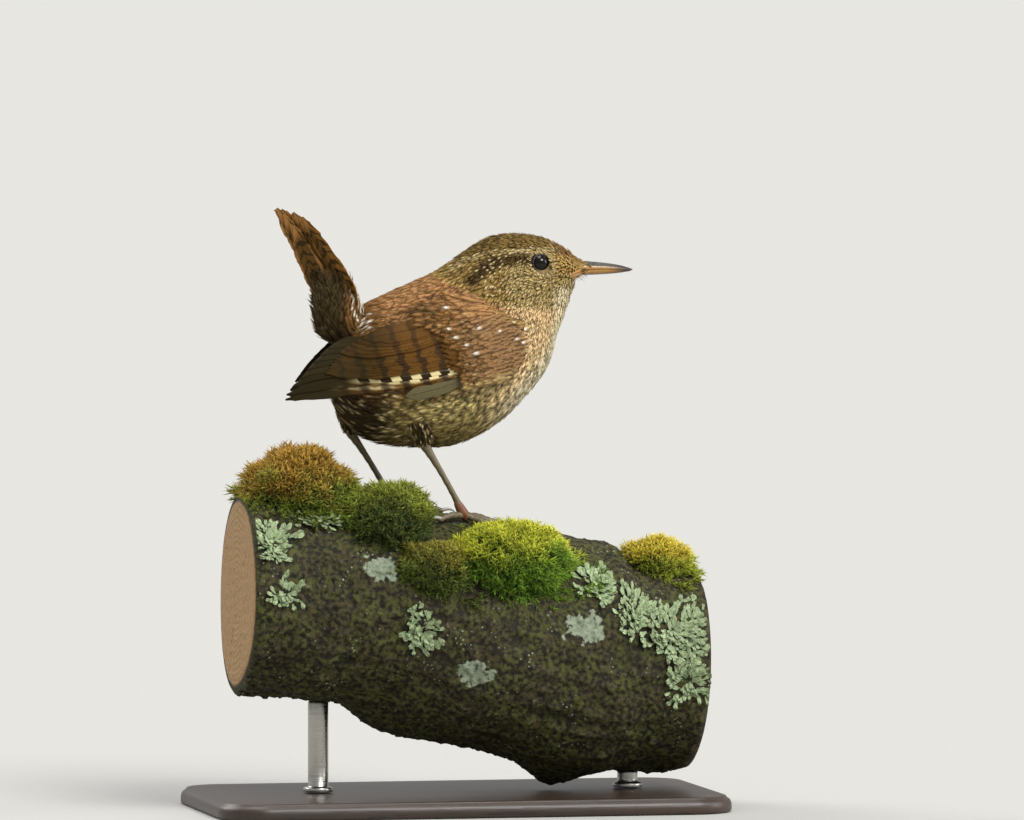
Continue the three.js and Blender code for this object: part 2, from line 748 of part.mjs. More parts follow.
function claw(leg, toe, grow = 0) {
  const path = toePath(leg, toe);
  const end = path.at(-1);
  const ahead = end.clone().sub(path.at(-2)).setZ(0).normalize();
  const steps = 5;
  const points = [];
  const radii = [];
  for (let i = 0; i < steps; i++) {
    const s = share(i, steps);
    const reach = toe.claw * Math.sin(1.35 * s);
    const [x, y] = [end.x + ahead.x * (reach - 0.2), end.y + ahead.y * (reach - 0.2)];
    const radius = lerp(CLAW.root, CLAW.tip, s);
    const curl = 0.55 * Math.sin(Math.PI * s) + lerp(TOE.tip, radius + 0.05, s * s);
    points.push(v3(x, y, branchTop(x, y) + GAP + 0.1 + curl));
    radii.push(radius + grow);
  }
  return limb(points, radii, 6).subtract(foot(leg, GAP - grow));
}

function shank(leg, grow = 0) {
  const [x, y, z] = leg.heel;
  const heel = v3(x, leg.side * y, z);
  const ankle = footCentre(leg);
  const points = [0, 0.1, 0.5, 0.9, 1].map((t) => heel.clone().lerp(ankle, t));
  const radii = [SHANK.top, 0.95, SHANK.middle, 0.82, SHANK.bottom].map((r) => r + grow);
  return limb(points, radii, 12);
}

function thigh(leg) {
  const [heel, hip] = [leg.heel, leg.hip].map(([x, y, z]) => v3(x, leg.side * y, z));
  const points = [0, 0.3, 0.65, 1].map((t) => heel.clone().lerp(hip, t));
  const radii = [SHANK.top + 0.25, THIGH.knee, lerp(THIGH.knee, THIGH.top, 0.6), THIGH.top];
  return limb(points, radii, 14);
}

// The scene

const COLOURS = {
  crown: [0x6b5636, 0.9],
  neck: [0x8a7350, 0.9],
  torso: [0x8f7a55, 0.9],
  tailRoot: [0x6f4f2c, 0.9],
  flight: [0x7a4b26, 0.75],
  horn: [0x4a4136, 0.45],
  gape: [0xa9803c, 0.45],
  eye: [0x0d0a08, 0.08],
  leg: [0x7b5a44, 0.5],
  claw: [0x8c8680, 0.35],
  bark: [0x2f2c22, 0.95],
  moss: [0x6f7a1c, 1.0],
  baseWood: [0x2a211b, 0.45],
  rod: [0xb8b4aa, 0.3],
};

const wren = new THREE.Group();

function put(name, solid, colour, metalness = 0) {
  const [color, roughness] = COLOURS[colour];
  const material = new THREE.MeshStandardMaterial({ color, roughness, metalness });
  const mesh = new THREE.Mesh(geometryOf(solid), material);
  mesh.name = name;
  wren.add(mesh);
}

const body = headNeckTorso();
put("head", body.head, "crown");
put("neck", body.neck, "neck");
put("torso", body.torso, "torso");
put("tail_root", tailRoot().subtract(wholeBody(GAP)), "tailRoot");
put("tail", tail(), "flight");
put("bill_upper", upperBill(), "horn");
put("bill_lower", mandible(false), "gape");

for (const [name, leg] of Object.entries(LEGS)) {
  put(`wing_${name}`, wing(leg.side), "flight");
  put(`eye_${name}`, eyeBall(leg.side), "eye");
  put(`thigh_${name}`, thigh(leg).subtract(wholeBody(GAP)).subtract(shank(leg, GAP)), "torso");
  put(`shank_${name}`, shank(leg).subtract(foot(leg, GAP)), "leg");
  put(`foot_${name}`, foot(leg), "leg");
  for (const [toe, sizes] of Object.entries(TOES)) {
    put(`claw_${name}_${toe}`, claw(leg, sizes), "claw");
  }
}

put("perch_branch", branch(), "bark");
for (const name of Object.keys(MOSS)) {
  put(`perch_moss_${name}`, mossCushion(name), "moss");
}
put("stand_base", standBase(), "baseWood");
for (const [name, x] of Object.entries(ROD.places)) {
  put(`stand_rod_${name}`, standRod(x), "rod", 0.9);
}

export default wren;
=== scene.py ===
# A wren on a short cut length of mossy branch, on a display stand, as a still life-size model.
# The bird faces +X and its left side is +Y. Shapes are worked out in millimetres in the frame
# of the solids, and turned to metres where a mesh is made.
import math

import bpy
import numpy as np
from bpy.props import FloatProperty, FloatVectorProperty, IntProperty, PointerProperty
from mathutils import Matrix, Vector


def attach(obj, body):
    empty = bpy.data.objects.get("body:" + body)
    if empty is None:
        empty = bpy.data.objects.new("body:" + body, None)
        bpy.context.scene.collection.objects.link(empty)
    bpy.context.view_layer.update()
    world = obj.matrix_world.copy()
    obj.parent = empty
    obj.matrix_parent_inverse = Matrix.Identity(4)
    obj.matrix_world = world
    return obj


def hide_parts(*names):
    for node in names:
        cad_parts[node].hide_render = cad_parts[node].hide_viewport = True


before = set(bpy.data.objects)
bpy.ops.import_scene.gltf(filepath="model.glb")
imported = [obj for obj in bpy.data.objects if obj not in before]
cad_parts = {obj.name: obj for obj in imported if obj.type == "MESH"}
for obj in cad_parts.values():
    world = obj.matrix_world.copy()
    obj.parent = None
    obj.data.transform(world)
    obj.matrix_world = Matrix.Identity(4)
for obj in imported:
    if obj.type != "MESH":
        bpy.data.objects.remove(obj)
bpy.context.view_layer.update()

bl_info = {
    "name": "Mossy Branch Wren",
    "version": (1, 0, 0),
    "blender": (4, 5, 0),
    "location": "3D View > Sidebar > Wren",
    "description": "Builds a life-size wren on a mossy branch, on its display stand",
    "category": "Add Mesh",
}

MM = 0.001
RIGHT, LEFT = -1, 1
SIDES = {"right": RIGHT, "left": LEFT}

# Shape of the head and body, from the bill's root to the tail's: ridge x, z, keel x, z, half width
SLICES = np.array(
    [
        [27.9, 117.4, 27.3, 114.4, 1.9],
        [25.7, 119.1, 25.9, 112.0, 4.0],
        [22.6, 121.1, 24.8, 109.5, 5.8],
        [18.9, 122.6, 23.5, 105.6, 7.1],
        [13.2, 123.4, 21.8, 101.1, 8.0],
        [7.3, 122.6, 20.7, 96.8, 9.3],
        [1.5, 119.2, 18.7, 92.9, 11.0],
        [-3.7, 115.7, 14.7, 88.2, 12.8],
        [-8.8, 113.3, 8.6, 82.6, 14.0],
        [-13.2, 111.4, 0.0, 78.5, 14.3],
        [-16.9, 109.7, -8.8, 78.1, 13.8],
        [-20.0, 108.2, -16.5, 78.9, 12.4],
        [-22.6, 105.4, -22.6, 81.9, 9.8],
        [-24.8, 101.7, -26.2, 87.7, 6.5],
        [-26.6, 97.4, -27.3, 92.5, 2.5],
    ]
)
EGG = 0.12  # how much wider a slice is below its middle than above it

# Feathered root of the tail: centre x, z, half depth, half width and twist in degrees
TAIL_ROOT = np.array(
    [
        [-20.0, 99.2, 5.4, 6.2, 0],
        [-25.1, 105.4, 5.4, 5.7, 10],
        [-26.4, 110.3, 4.4, 5.0, 30],
        [-27.4, 113.3, 3.1, 4.5, 45],
        [-29.3, 116.9, 1.9, 3.6, 50],
    ]
)
TAIL_BASE = (-24.2, 106.7)
TAIL_RISE, TAIL_TWIST = math.radians(119), math.radians(50)
TAIL_LAYER = 0.34
TAIL_START = -3.0
TAIL_PAIRS = 6
# How far a side's feathers stand from the axis at root and tip, and their lengths, inner to outer
TAIL_FAN = {
    RIGHT: ((0.6, 4.8), (-1.4, 3.2), (26.0, 23.4)),
    LEFT: ((-0.4, -2.2), (-2.6, 0.2), (27.4, 23.0)),
}

WRIST = (11.7, 98.6)
WING_DROOP = math.radians(11.8)
WING_LENGTH = 49.7
# Half width of the folded wings where they stand clear of the body, by x
WING_SPREAD = np.array(
    [[-38, 4.6], [-29, 8.0], [-20, 10.9], [-12, 11.9], [-4, 11.6], [4, 10.2], [14, 7.0]]
)

# Cone of forward feathers over the bill's root: x, z, half depth and half width
BILL_CONE = [
    (23.6, 115.9, 4.1, 4.9),
    (25.0, 116.05, 3.25, 4.15),
    (26.6, 116.05, 2.05, 3.0),
    (28.0, 116.0, 1.6, 2.1),
    (29.6, 115.95, 1.4, 1.8),
    (31.2, 115.9, 1.25, 1.55),
]
EYE_AT = (17.5, 4.75, 117.1)
EYE_RADIUS = 2.3
LID_RADIUS, LID_RIM = 2.02, 0.26
BILL_ROOT, BILL_TIP, BILL_HALF = 28.2, 39.0, 1.75
NOSTRIL_AT = (30.6, 1.25, 117.0)

# Legs: hip, heel, and where the toes part
LEGS = {
    "right": (RIGHT, (-10.6, 8.0, 85.6), (-8.2, 8.0, 78.4), (0.5, 7.0)),
    "left": (LEFT, (-21.0, 6.4, 88.0), (-21.2, 8.0, 80.5), (-12.6, 7.0)),
}
PAD = 1.15
GAP = 0.3
# Toes: bearing from straight ahead towards the outer side in degrees, length, length of the claw
TOES = {
    "hallux": (148, 6.8, 4.6),
    "inner": (-24, 7.4, 3.2),
    "middle": (-3, 11.0, 3.6),
    "outer": (15, 8.6, 3.2),
}

# The branch's axis and radius: x, z, radius
BRANCH = np.array(
    [
        [-47.3, 46.5, 21.5],
        [-34.1, 46.0, 21.7],
        [-20.9, 44.4, 22.1],
        [-7.7, 40.5, 23.4],
        [5.5, 36.6, 24.4],
        [18.7, 34.0, 25.0],
        [30.6, 31.2, 24.3],
        [37.5, 30.2, 22.6],
        [51.7, 28.8, 21.0],
    ]
)
KNOT_X = 27.0
# Moss cushions: centre, half sizes and the number that shapes their bumps
MOSS = {
    "mound": ((-34.2, -1, 66.4), (12.3, 12, 10.4), 1),
    "dark": ((-16.8, -12.5, 62.2), (10.4, 6.8, 8.0), 2),
    "bright": ((8.4, -18, 53.6), (13.2, 6.6, 8.2), 3),
    "shade": ((-8.6, -19.5, 51.4), (8, 4.8, 6.4), 4),
    "tuft": ((43.0, -3, 51.6), (7.6, 7, 4.9), 5),
}
BASE_SIZE = (112.0, 62.0, 3.6)
BASE_CORNER, BASE_BEVEL = 10.0, 0.6
ROD_RADIUS = 2.2
RODS = {"rear": -30.0, "front": 38.0}


# Settings


def linear(code):
    """A colour given in sRGB hex, as linear red, green and blue."""
    parts = [int(code[i : i + 2], 16) / 255 for i in (1, 3, 5)]
    return tuple(p / 12.92 if p <= 0.04045 else ((p + 0.055) / 1.055) ** 2.4 for p in parts)


def colour(name, code, description):
    """A colour property whose default is an sRGB hex value."""
    return FloatVectorProperty(
        name=name,
        description=description,
        subtype="COLOR",
        size=3,
        min=0.0,
        max=1.0,
        default=linear(code),
    )


def length(name, mm, description):
    """A length property whose default is in millimetres."""
    return FloatProperty(
        name=name, description=description, unit="LENGTH", precision=5, min=0.0, default=mm * MM
    )


class WrenPlumage(bpy.types.PropertyGroup):
    """Sizes and colours of the small feathers."""

    head_spacing: length("Head spacing", 0.6, "Distance between feather rows on the head")
    body_spacing: length("Body spacing", 1.08, "Distance between feather rows on the body")
    barbs: IntProperty(name="Barbs", description="Free barbs on each feather", default=14, min=6)
    seed: IntProperty(name="Seed", description="Seed of every random choice", default=7, min=0)
    crown: colour("Crown", "#846c39", "Top of the head")
    forehead: colour("Forehead", "#937244", "Over the bill's root")
    brow: colour("Brow", "#c9b68a", "Pale stripe over the eye")
    stripe: colour("Eye stripe", "#463414", "Dark stripe behind the eye")
    cheek: colour("Cheek", "#ad9864", "Feathers over the ear")
    lores: colour("Lores", "#b79758", "Between eye and bill")
    gape: colour("Gape", "#8c6624", "Corner of the mouth")
    neck: colour("Neck", "#9a7f47", "Side of the neck")
    pale: colour("Pale marks", "#d3bf8f", "Drops and fringes of single feathers")
    throat: colour("Throat", "#f2e8c6", "Chin and front of the throat")
    breast: colour("Breast", "#e6c898", "Side of the breast")
    flank: colour("Flank", "#cdbb7c", "Side of the body under the wing")
    # belly and vent are partly their own colours, partly painted shade under the body and at its rear
    belly: colour("Belly", "#978650", "Under the body")
    vent: colour("Vent", "#362b12", "Rear of the belly")
    dark: colour("Dark marks", "#382a14", "Dashes and bars of single feathers")
    mantle: colour("Mantle", "#a67b4e", "Upper back")
    rump: colour("Rump", "#7f5b2f", "Lower back")
    white: colour("White tips", "#e6ddd0", "Small tips on the coverts and rump")


class WrenFlight(bpy.types.PropertyGroup):
    """Sizes and colours of wings and tail."""

    vane: length("Vane", 0.3, "Thickness of a flight feather")
    bar_pitch: length("Bar pitch", 4.05, "Distance from bar to bar on the wing")
    tail_pitch: length("Tail bar pitch", 2.5, "Distance from bar to bar on the tail")
    # the rust is partly the feathers' own colour, partly painted shade over the folded wing
    rust: colour("Rust", "#624114", "Ground colour of the folded wing")
    shade: colour("Wing tip", "#2a230e", "Rear end of the folded wing")
    bar: colour("Bars", "#2b1e10", "Dark bars")
    cream: colour("Cream blocks", "#e0cf98", "Pale blocks on the outer primaries")
    covert: colour("Coverts", "#8a6945", "Soft coverts of the shoulder")
    tail: colour("Tail", "#8f6424", "Ground colour of the tail")
    tail_pale: colour("Tail fringe", "#c08a4e", "Fringes of the tail feathers")
    plume: colour("Flank plume", "#5f583c", "Long smooth feather under the wing's edge")


class WrenHorn(bpy.types.PropertyGroup):
    """Colours of bill, eyes, legs and claws."""

    culmen: colour("Culmen", "#43403a", "Upper edge of the bill")
    horn: colour("Horn", "#a5762f", "Sides of the bill")
    tip: colour("Bill tip", "#2a221b", "Tip and lower edge of the bill")
    iris: colour("Iris", "#120b07", "The eye")
    lid: colour("Lid", "#2c231a", "Rims of the lids")
    leg: colour("Leg", "#6d6146", "Shanks and toes")
    joint: colour("Joint", "#74411f", "Foot joint and the gaps between scutes")
    claw: colour("Claw", "#a8a29a", "Claws")


class WrenPerch(bpy.types.PropertyGroup):
    """Sizes and colours of the branch, its moss and its lichen."""

    bark_depth: length("Bark depth", 0.85, "Height of the bark's ridges")
    shoots: IntProperty(name="Moss shoots", description="On all cushions", default=7600, min=200)
    lobes: IntProperty(name="Lichen lobes", description="On all patches", default=1215, min=20)
    bark: colour("Bark", "#474029", "Ridges of the bark")
    # the bark's own dark colour, also laid as painted shade where the bark lies low in its cracks
    bark_dark: colour("Bark cracks", "#151309", "Cracks of the bark")
    algae: colour("Algae", "#4f5626", "Green film on the bark")
    crust: colour("Crust", "#8b957e", "Thin pale crust on the bark")
    lichen: colour("Lichen", "#93a37c", "Leafy lichen")
    sawn: colour("Sawn wood", "#b08d5c", "Sawn ends")
    ring: colour("Year rings", "#93703f", "Late wood of the sawn ends")


class WrenStand(bpy.types.PropertyGroup):
    """Colours of the stand."""

    wood: colour("Stained oak", "#3a2a1e", "Base")
    pore: colour("Oak pores", "#17100b", "Pores of the base")
    steel: colour("Steel", "#b9b6ae", "Rods")


class WrenStage(bpy.types.PropertyGroup):
    """Camera, floor and light."""

    distance: length("Camera distance", 2500, "From the camera to what it looks at")
    azimuth: FloatProperty(
        name="Azimuth",
        description="Round the object, 0 looks along +Y",
        subtype="ANGLE",
        default=math.radians(-12),
    )
    elevation: FloatProperty(
        name="Elevation",
        description="Above the horizon",
        subtype="ANGLE",
        default=math.radians(2.5),
    )
    floor: colour("Floor", "#aeada9", "Plain pale floor")
    sky: colour("Surrounds", "#e9eaea", "Even light from all round")


# Curves and numbers


def rise(lo, hi, value):
    """0 up to lo, 1 from hi, and smooth between them."""
    share = np.clip((value - lo) / (hi - lo), 0, 1)
    return share * share * (3 - 2 * share)


def fall(lo, hi, value):
    """1 up to lo, 0 from hi, and smooth between them."""
    return 1 - rise(lo, hi, value)


def blend(one, other, share):
    """Mixes colours or points, with a share for each row."""
    share = np.asarray(share)[..., None]
    return one * (1 - share) + np.asarray(other) * share


def stacked(*values):
    """Values side by side, as the coordinates of points."""
    return np.stack(values, -1)


def crossed(one, other):
    """Every pair of two rows of numbers, as two grids."""
    return np.meshgrid(one, other, indexing="ij")


def circle(count, start=0):
    """Turns evenly round a circle."""
    return np.linspace(start, start + 2 * np.pi, count, endpoint=False)


def unit(vectors):
    """Vectors of length one."""
    return vectors / np.maximum(np.linalg.norm(vectors, axis=-1, keepdims=True), 1e-9)


def catmull(points, share):
    """Points of a smooth curve through the given ones, at shares of its run."""
    points = np.asarray(points, float)
    ends = (2 * points[0] - points[1], 2 * points[-1] - points[-2])
    padded = np.vstack([ends[0], points, ends[1]])
    place = np.clip(share, 0, 1) * (len(points) - 1)
    i = np.minimum(place.astype(int), len(points) - 2)
    f = (place - i)[..., None]
    p0, p1, p2, p3 = (padded[i + k] for k in range(4))
    bend = 2 * p0 - 5 * p1 + 4 * p2 - p3
    return p1 + 0.5 * ((p2 - p0) * f + bend * f**2 + (3 * p1 - p0 - 3 * p2 + p3) * f**3)


def row_at(rows, x):
    """Reads the values of rows sorted by their first number, smoothly."""
    x = np.asarray(x, float)
    last = len(rows) - 1
    i = np.clip(np.searchsorted(rows[:, 0], x, side="right") - 1, 0, last - 1)
    run = rows[i + 1, 0] - rows[i, 0]
    t = np.clip((x - rows[i, 0]) / run, 0, 1)[..., None]
    lo = np.maximum(np.arange(last + 1) - 1, 0)
    hi = np.minimum(np.arange(last + 1) + 1, last)
    slope = (rows[hi, 1:] - rows[lo, 1:]) / (rows[hi, :1] - rows[lo, :1])
    h1 = 2 * t**3 - 3 * t * t + 1
    h2 = t**3 - 2 * t * t + t
    h3 = t**3 - t * t
    tilts = run[..., None] * (h2 * slope[i] + h3 * slope[i + 1])
    return h1 * rows[i, 1:] + (1 - h1) * rows[i + 1, 1:] + tilts


def noise(points, size, seed=0):
    """Smooth noise from -1 to 1 at points in millimetres, with swells of the given size."""
    place = np.asarray(points, float) / size + 31.7 * seed
    cell = np.floor(place).astype(np.int64)
    f = place - cell
    f = f * f * (3 - 2 * f)
    total = np.zeros(place.shape[:-1])
    for corner in range(8):
        bits = np.array([corner & 1, corner >> 1 & 1, corner >> 2 & 1])
        k = cell + bits
        mixed = k[..., 0] * 73856093 ^ k[..., 1] * 19349663 ^ k[..., 2] * 83492791 ^ seed * 97
        mixed = ((mixed ^ mixed >> 13) & 0x7FFFFFFF) * 1274126177
        value = (mixed ^ mixed >> 16) % 65536 / 32767.5 - 1
        total += value * np.prod(np.where(bits, f, 1 - f), axis=-1)
    return total


def line_distance(x, z, line):
    """Distance in the side view from points to a line of (x, z) corners."""
    best = np.full(np.shape(x), 1e9)
    for (x1, z1), (x2, z2) in zip(line, line[1:]):
        run = (x2 - x1) ** 2 + (z2 - z1) ** 2
        s = np.clip(((x - x1) * (x2 - x1) + (z - z1) * (z2 - z1)) / run, 0, 1)
        best = np.minimum(best, np.hypot(x - x1 - s * (x2 - x1), z - z1 - s * (z2 - z1)))
    return best


# Meshes


def signed_volume(points, faces):
    """Volume inside closed faces, negative if they face inwards."""
    total = 0.0
    for block in faces:
        for k in range(1, block.shape[1] - 1):
            a, b, c = points[block[:, 0]], points[block[:, k]], points[block[:, k + 1]]
            total += np.einsum("ij,ij->", a, np.cross(b, c))
    return total / 6


class Form:
    """Points in millimetres, faces, and values at the points, gathered before a mesh is made."""

    def __init__(self):
        self.points, self.faces, self.materials, self.values = [], [], [], {}
        self.count = 0

    def add(self, points, faces, material=0, **values):
        """Adds one closed shape, or many alike, and turns its faces outwards."""
        points = np.asarray(points, float).reshape(-1, 3)
        faces = [np.asarray(block, np.int64) for block in faces if len(block)]
        if signed_volume(points - points.mean(0), faces) < 0:
            faces = [block[:, ::-1] for block in faces]
        for block in faces:
            self.faces.append(block + self.count)
            self.materials.append(np.full(len(block), material))
        self.points.append(points)
        for name, value in values.items():
            value = np.asarray(value, float)
            wide = value.reshape(len(points), -1) if value.size > 4 else value
            width = wide.shape[-1] if wide.ndim else 1
            self.values.setdefault(name, []).append(np.broadcast_to(wide, (len(points), width)))
        self.count += len(points)

    def mesh(self, name, flat=False):
        """The gathered shapes as one mesh, with its colours, values and UV map."""
        loops = np.concatenate([block.ravel() for block in self.faces])
        sizes = np.concatenate([np.full(len(block), block.shape[1]) for block in self.faces])
        starts = np.concatenate([[0], np.cumsum(sizes)[:-1]])
        mesh = bpy.data.meshes.new(name)
        mesh.vertices.add(self.count)
        places = np.concatenate(self.points) * MM
        mesh.vertices.foreach_set("co", places.astype(np.float32).ravel())
        mesh.loops.add(len(loops))
        mesh.loops.foreach_set("vertex_index", loops.astype(np.int32))
        mesh.polygons.add(len(sizes))
        mesh.polygons.foreach_set("loop_start", starts.astype(np.int32))
        materials = np.concatenate(self.materials).astype(np.int32)
        mesh.polygons.foreach_set("material_index", materials)
        mesh.polygons.foreach_set("use_smooth", np.full(len(sizes), not flat))
        for key, parts in self.values.items():
            value = np.concatenate(parts).astype(np.float32)
            if key == "uv":
                layer = mesh.uv_layers.new(name="OFBake")
                layer.uv.foreach_set("vector", value[loops].ravel())
            elif value.shape[1] == 3:
                layer = mesh.color_attributes.new(key, "FLOAT_COLOR", "POINT")
                rgba = np.hstack([value, np.ones((len(value), 1), np.float32)])
                layer.data.foreach_set("color", rgba.ravel())
            else:
                layer = mesh.attributes.new(key, "FLOAT", "POINT")
                layer.data.foreach_set("value", value.ravel())
        mesh.update(calc_edges=True)
        mesh.validate()
        return mesh


def put(name, form, materials, nodes=(), flat=False):
    """Shows a form or a mesh as a piece that rides on the model's body and stands for CAD nodes."""
    mesh = form.mesh(name, flat) if isinstance(form, Form) else form
    for material in materials:
        mesh.materials.append(material)
    piece = bpy.data.objects.new(name, mesh)
    bpy.context.scene.collection.objects.link(piece)
    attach(piece, "root")
    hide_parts(*nodes)
    return piece


def grid_faces(rows, columns, closed=False):
    """Four-sided faces over a grid of points, closed across if asked."""
    index = np.arange(rows * columns).reshape(rows, columns)
    if closed:
        index = np.hstack([index, index[:, :1]])
    corners = (index[:-1, :-1], index[:-1, 1:], index[1:, 1:], index[1:, :-1])
    return np.stack(corners, -1).reshape(-1, 4)


def loft(rings):
    """A closed skin over rings of points, with a fan over each end."""
    rows, sides = rings.shape[:2]
    points = np.concatenate([rings.reshape(-1, 3), rings[0].mean(0)[None], rings[-1].mean(0)[None]])
    ring = np.arange(sides)
    after = np.roll(ring, -1)
    first = stacked(np.full(sides, rows * sides), after, ring)
    shift = (rows - 1) * sides
    last = stacked(np.full(sides, rows * sides + 1), ring + shift, after + shift)
    return points, [grid_faces(rows, sides, True), np.concatenate([first, last])]


def plate(top, bottom):
    """A closed thin plate between two grids of points."""
    rows, columns = top.shape[:2]
    count = rows * columns
    faces = grid_faces(rows, columns)
    index = np.arange(count).reshape(rows, columns)
    rim = np.concatenate([index[0, :-1], index[:-1, -1], index[-1, :0:-1], index[:0:-1, 0]])
    after = np.roll(rim, -1)
    edge = stacked(rim, rim + count, after + count, after)
    points = np.concatenate([top.reshape(-1, 3), bottom.reshape(-1, 3)])
    return points, [faces, faces[:, ::-1] + count, edge]


def tube(path, radii, sides, reference=(0.0, 1.0, 0.0)):
    """Rings round a path, with rounded ends. Returns them and each ring's share of the run."""
    path, radii = np.asarray(path, float), np.asarray(radii, float)
    along = unit(np.gradient(path, axis=0))
    up = unit(np.cross(np.asarray(reference), along))
    side = np.cross(along, up)
    turn = circle(sides)
    ring = up[:, None] * np.cos(turn)[None, :, None] + side[:, None] * np.sin(turn)[None, :, None]
    body = path[:, None] + ring * radii[:, None, None]
    caps = []
    for i, sign in ((0, -1), (-1, 1)):
        near = path[i] + sign * along[i] * radii[i] * 0.55 + ring[i] * radii[i] * 0.82
        far = path[i] + sign * along[i] * radii[i] * 0.9 + ring[i] * radii[i] * 0.4
        caps.append([near, far])
    rings = np.concatenate([[caps[0][1], caps[0][0]], body, caps[1]])
    share = np.linspace(0, 1, len(path))
    return rings, np.concatenate([[0, 0], share, [1, 1]])


# Surfaces


def body_point(t, phi):
    """Point of the plumage's outer surface, by share from bill to tail and turn from the ridge."""
    ridge_x, ridge_z, keel_x, keel_z, half = np.moveaxis(catmull(SLICES, t), -1, 0)
    u = np.cos(phi)
    x = (ridge_x + keel_x) / 2 + (ridge_x - keel_x) / 2 * u
    z = (ridge_z + keel_z) / 2 + (ridge_z - keel_z) / 2 * u
    return stacked(x, half * np.sin(phi) * (1 - EGG * u), z)


def ring_surface(centres, ups, sides):
    """A surface round a line of centres, with two half axes at each."""
    rows = np.hstack([centres, ups, sides])

    def point(t, phi):
        values = catmull(rows, t)
        turn = phi[..., None]
        return values[..., :3] + values[..., 3:6] * np.cos(turn) + values[..., 6:] * np.sin(turn)

    return point


def tail_root_surface():
    """Surface of the tail's feathered root."""
    path = stacked(TAIL_ROOT[:, 0], np.zeros(len(TAIL_ROOT)), TAIL_ROOT[:, 1])
    padded = np.concatenate([path[:1], path, path[-1:]])
    along = unit(padded[2:] - padded[:-2])
    face = stacked(along[:, 2], np.zeros(len(path)), -along[:, 0])
    twist = np.radians(TAIL_ROOT[:, 4:5])
    across = np.array([[0.0, 1.0, 0.0]])
    upper = face * np.cos(twist) + across * np.sin(twist)
    side = across * np.cos(twist) - face * np.sin(twist)
    return ring_surface(path, upper * TAIL_ROOT[:, 2:3], side * TAIL_ROOT[:, 3:4])


def limb_surface(path, radii):
    """Surface of a round limb."""
    path = np.asarray(path, float)
    along = unit(np.gradient(path, axis=0))
    up = unit(np.cross([0.0, 1.0, 0.0], along))
    side = np.cross(along, up)
    radii = np.asarray(radii, float)[:, None]
    return ring_surface(path, up * radii, side * radii)


def thigh_surface(name):
    """Surface of a feathered thigh, from hip to heel."""
    side, hip, heel, _ = LEGS[name]
    hip, heel = (np.array([p[0], side * p[1], p[2]]) for p in (hip, heel))
    shares = np.array([0, 0.35, 0.7, 1])[:, None]
    return limb_surface(hip * (1 - shares) + heel * shares, [4.3, 3.6, 2.6, 1.37])


def measured(surface, t, phi):
    """Point, outward normal and the two stretches of a surface."""
    step = 1e-3
    low, high = np.clip(t - step, 0, 1), np.clip(t + step, 0, 1)
    point = surface(t, phi)
    along = (surface(high, phi) - surface(low, phi)) / np.maximum(high - low, 1e-6)[..., None]
    across = (surface(t, phi + step) - surface(t, phi - step)) / (2 * step)
    normal = unit(np.cross(across, along))
    stretch = (np.linalg.norm(along, axis=-1), np.linalg.norm(across, axis=-1))
    return point, normal, np.maximum(stretch[0], 4), np.maximum(stretch[1], 0.6)


def body_coords(x, z):
    """Share along the body and cosine of the turn for points of the side view."""
    x, z = np.broadcast_arrays(np.asarray(x, float), np.asarray(z, float))
    lo, hi = np.zeros(x.shape), np.ones(x.shape)
    for _ in range(20):
        mid = (lo + hi) / 2
        rx, rz, kx, kz, _ = np.moveaxis(catmull(SLICES, mid), -1, 0)
        before = (rx - kx) * (z - kz) - (rz - kz) * (x - kx) < 0
        hi = np.where(before, mid, hi)
        lo = np.where(before, lo, mid)
    rx, rz, kx, kz, half = np.moveaxis(catmull(SLICES, lo), -1, 0)
    run = (rx - kx) ** 2 + (rz - kz) ** 2
    u = 2 * ((x - kx) * (rx - kx) + (z - kz) * (rz - kz)) / run - 1
    outside = (lo < 1e-4) | (lo > 1 - 1e-4) | (np.abs(u) >= 1)
    width = half * np.sqrt(np.maximum(0, 1 - u * u)) * (1 - EGG * u)
    return lo, np.clip(u, -1, 1), np.where(outside, 0, width)


BED_X, BED_Z = np.arange(-48, 22, 0.4), np.arange(78, 120, 0.4)


def wing_bed_table():
    """Half widths of the surface that the folded wing lies on, and their slopes, over the side view."""
    x, z = crossed(BED_X, BED_Z)
    above = np.maximum(0, z - (WRIST[1] + 1 + (x - WRIST[0]) * 0.2))
    own = row_at(WING_SPREAD, x)[..., 0] - 0.055 * above**2
    body = body_coords(x, z)[2]
    bed = (own + body + np.sqrt((own - body) ** 2 + 0.5)) / 2 + GAP
    step = BED_X[1] - BED_X[0]
    return stacked(bed, np.gradient(bed, step, axis=0), np.gradient(bed, step, axis=1))


BED = wing_bed_table()


def wing_place(x, z):
    """How far behind the wrist and above it a point of the side view lies, along the wing."""
    c, s = math.cos(WING_DROOP), math.sin(WING_DROOP)
    x, z = x - WRIST[0], z - WRIST[1]
    return -x * c - z * s, -x * s + z * c


def wing_point(side, a, b, height):
    """A point over the folded wing's bed, a behind the wrist and b above it."""
    c, s = math.cos(WING_DROOP), math.sin(WING_DROOP)
    x, z = WRIST[0] - a * c - b * s, WRIST[1] - a * s + b * c
    i = np.clip((x - BED_X[0]) / 0.4, 0, len(BED_X) - 1.001)
    j = np.clip((z - BED_Z[0]) / 0.4, 0, len(BED_Z) - 1.001)
    i0, j0 = i.astype(int), j.astype(int)
    fi, fj = (i - i0)[..., None], (j - j0)[..., None]
    low = BED[i0, j0] * (1 - fj) + BED[i0, j0 + 1] * fj
    high = BED[i0 + 1, j0] * (1 - fj) + BED[i0 + 1, j0 + 1] * fj
    bed, slope_x, slope_z = np.moveaxis(low * (1 - fi) + high * fi, -1, 0)
    normal = unit(stacked(-slope_x, np.ones_like(bed), -slope_z))
    point = stacked(x, bed, z) + normal * np.asarray(height)[..., None]
    return point * [1, side, 1]


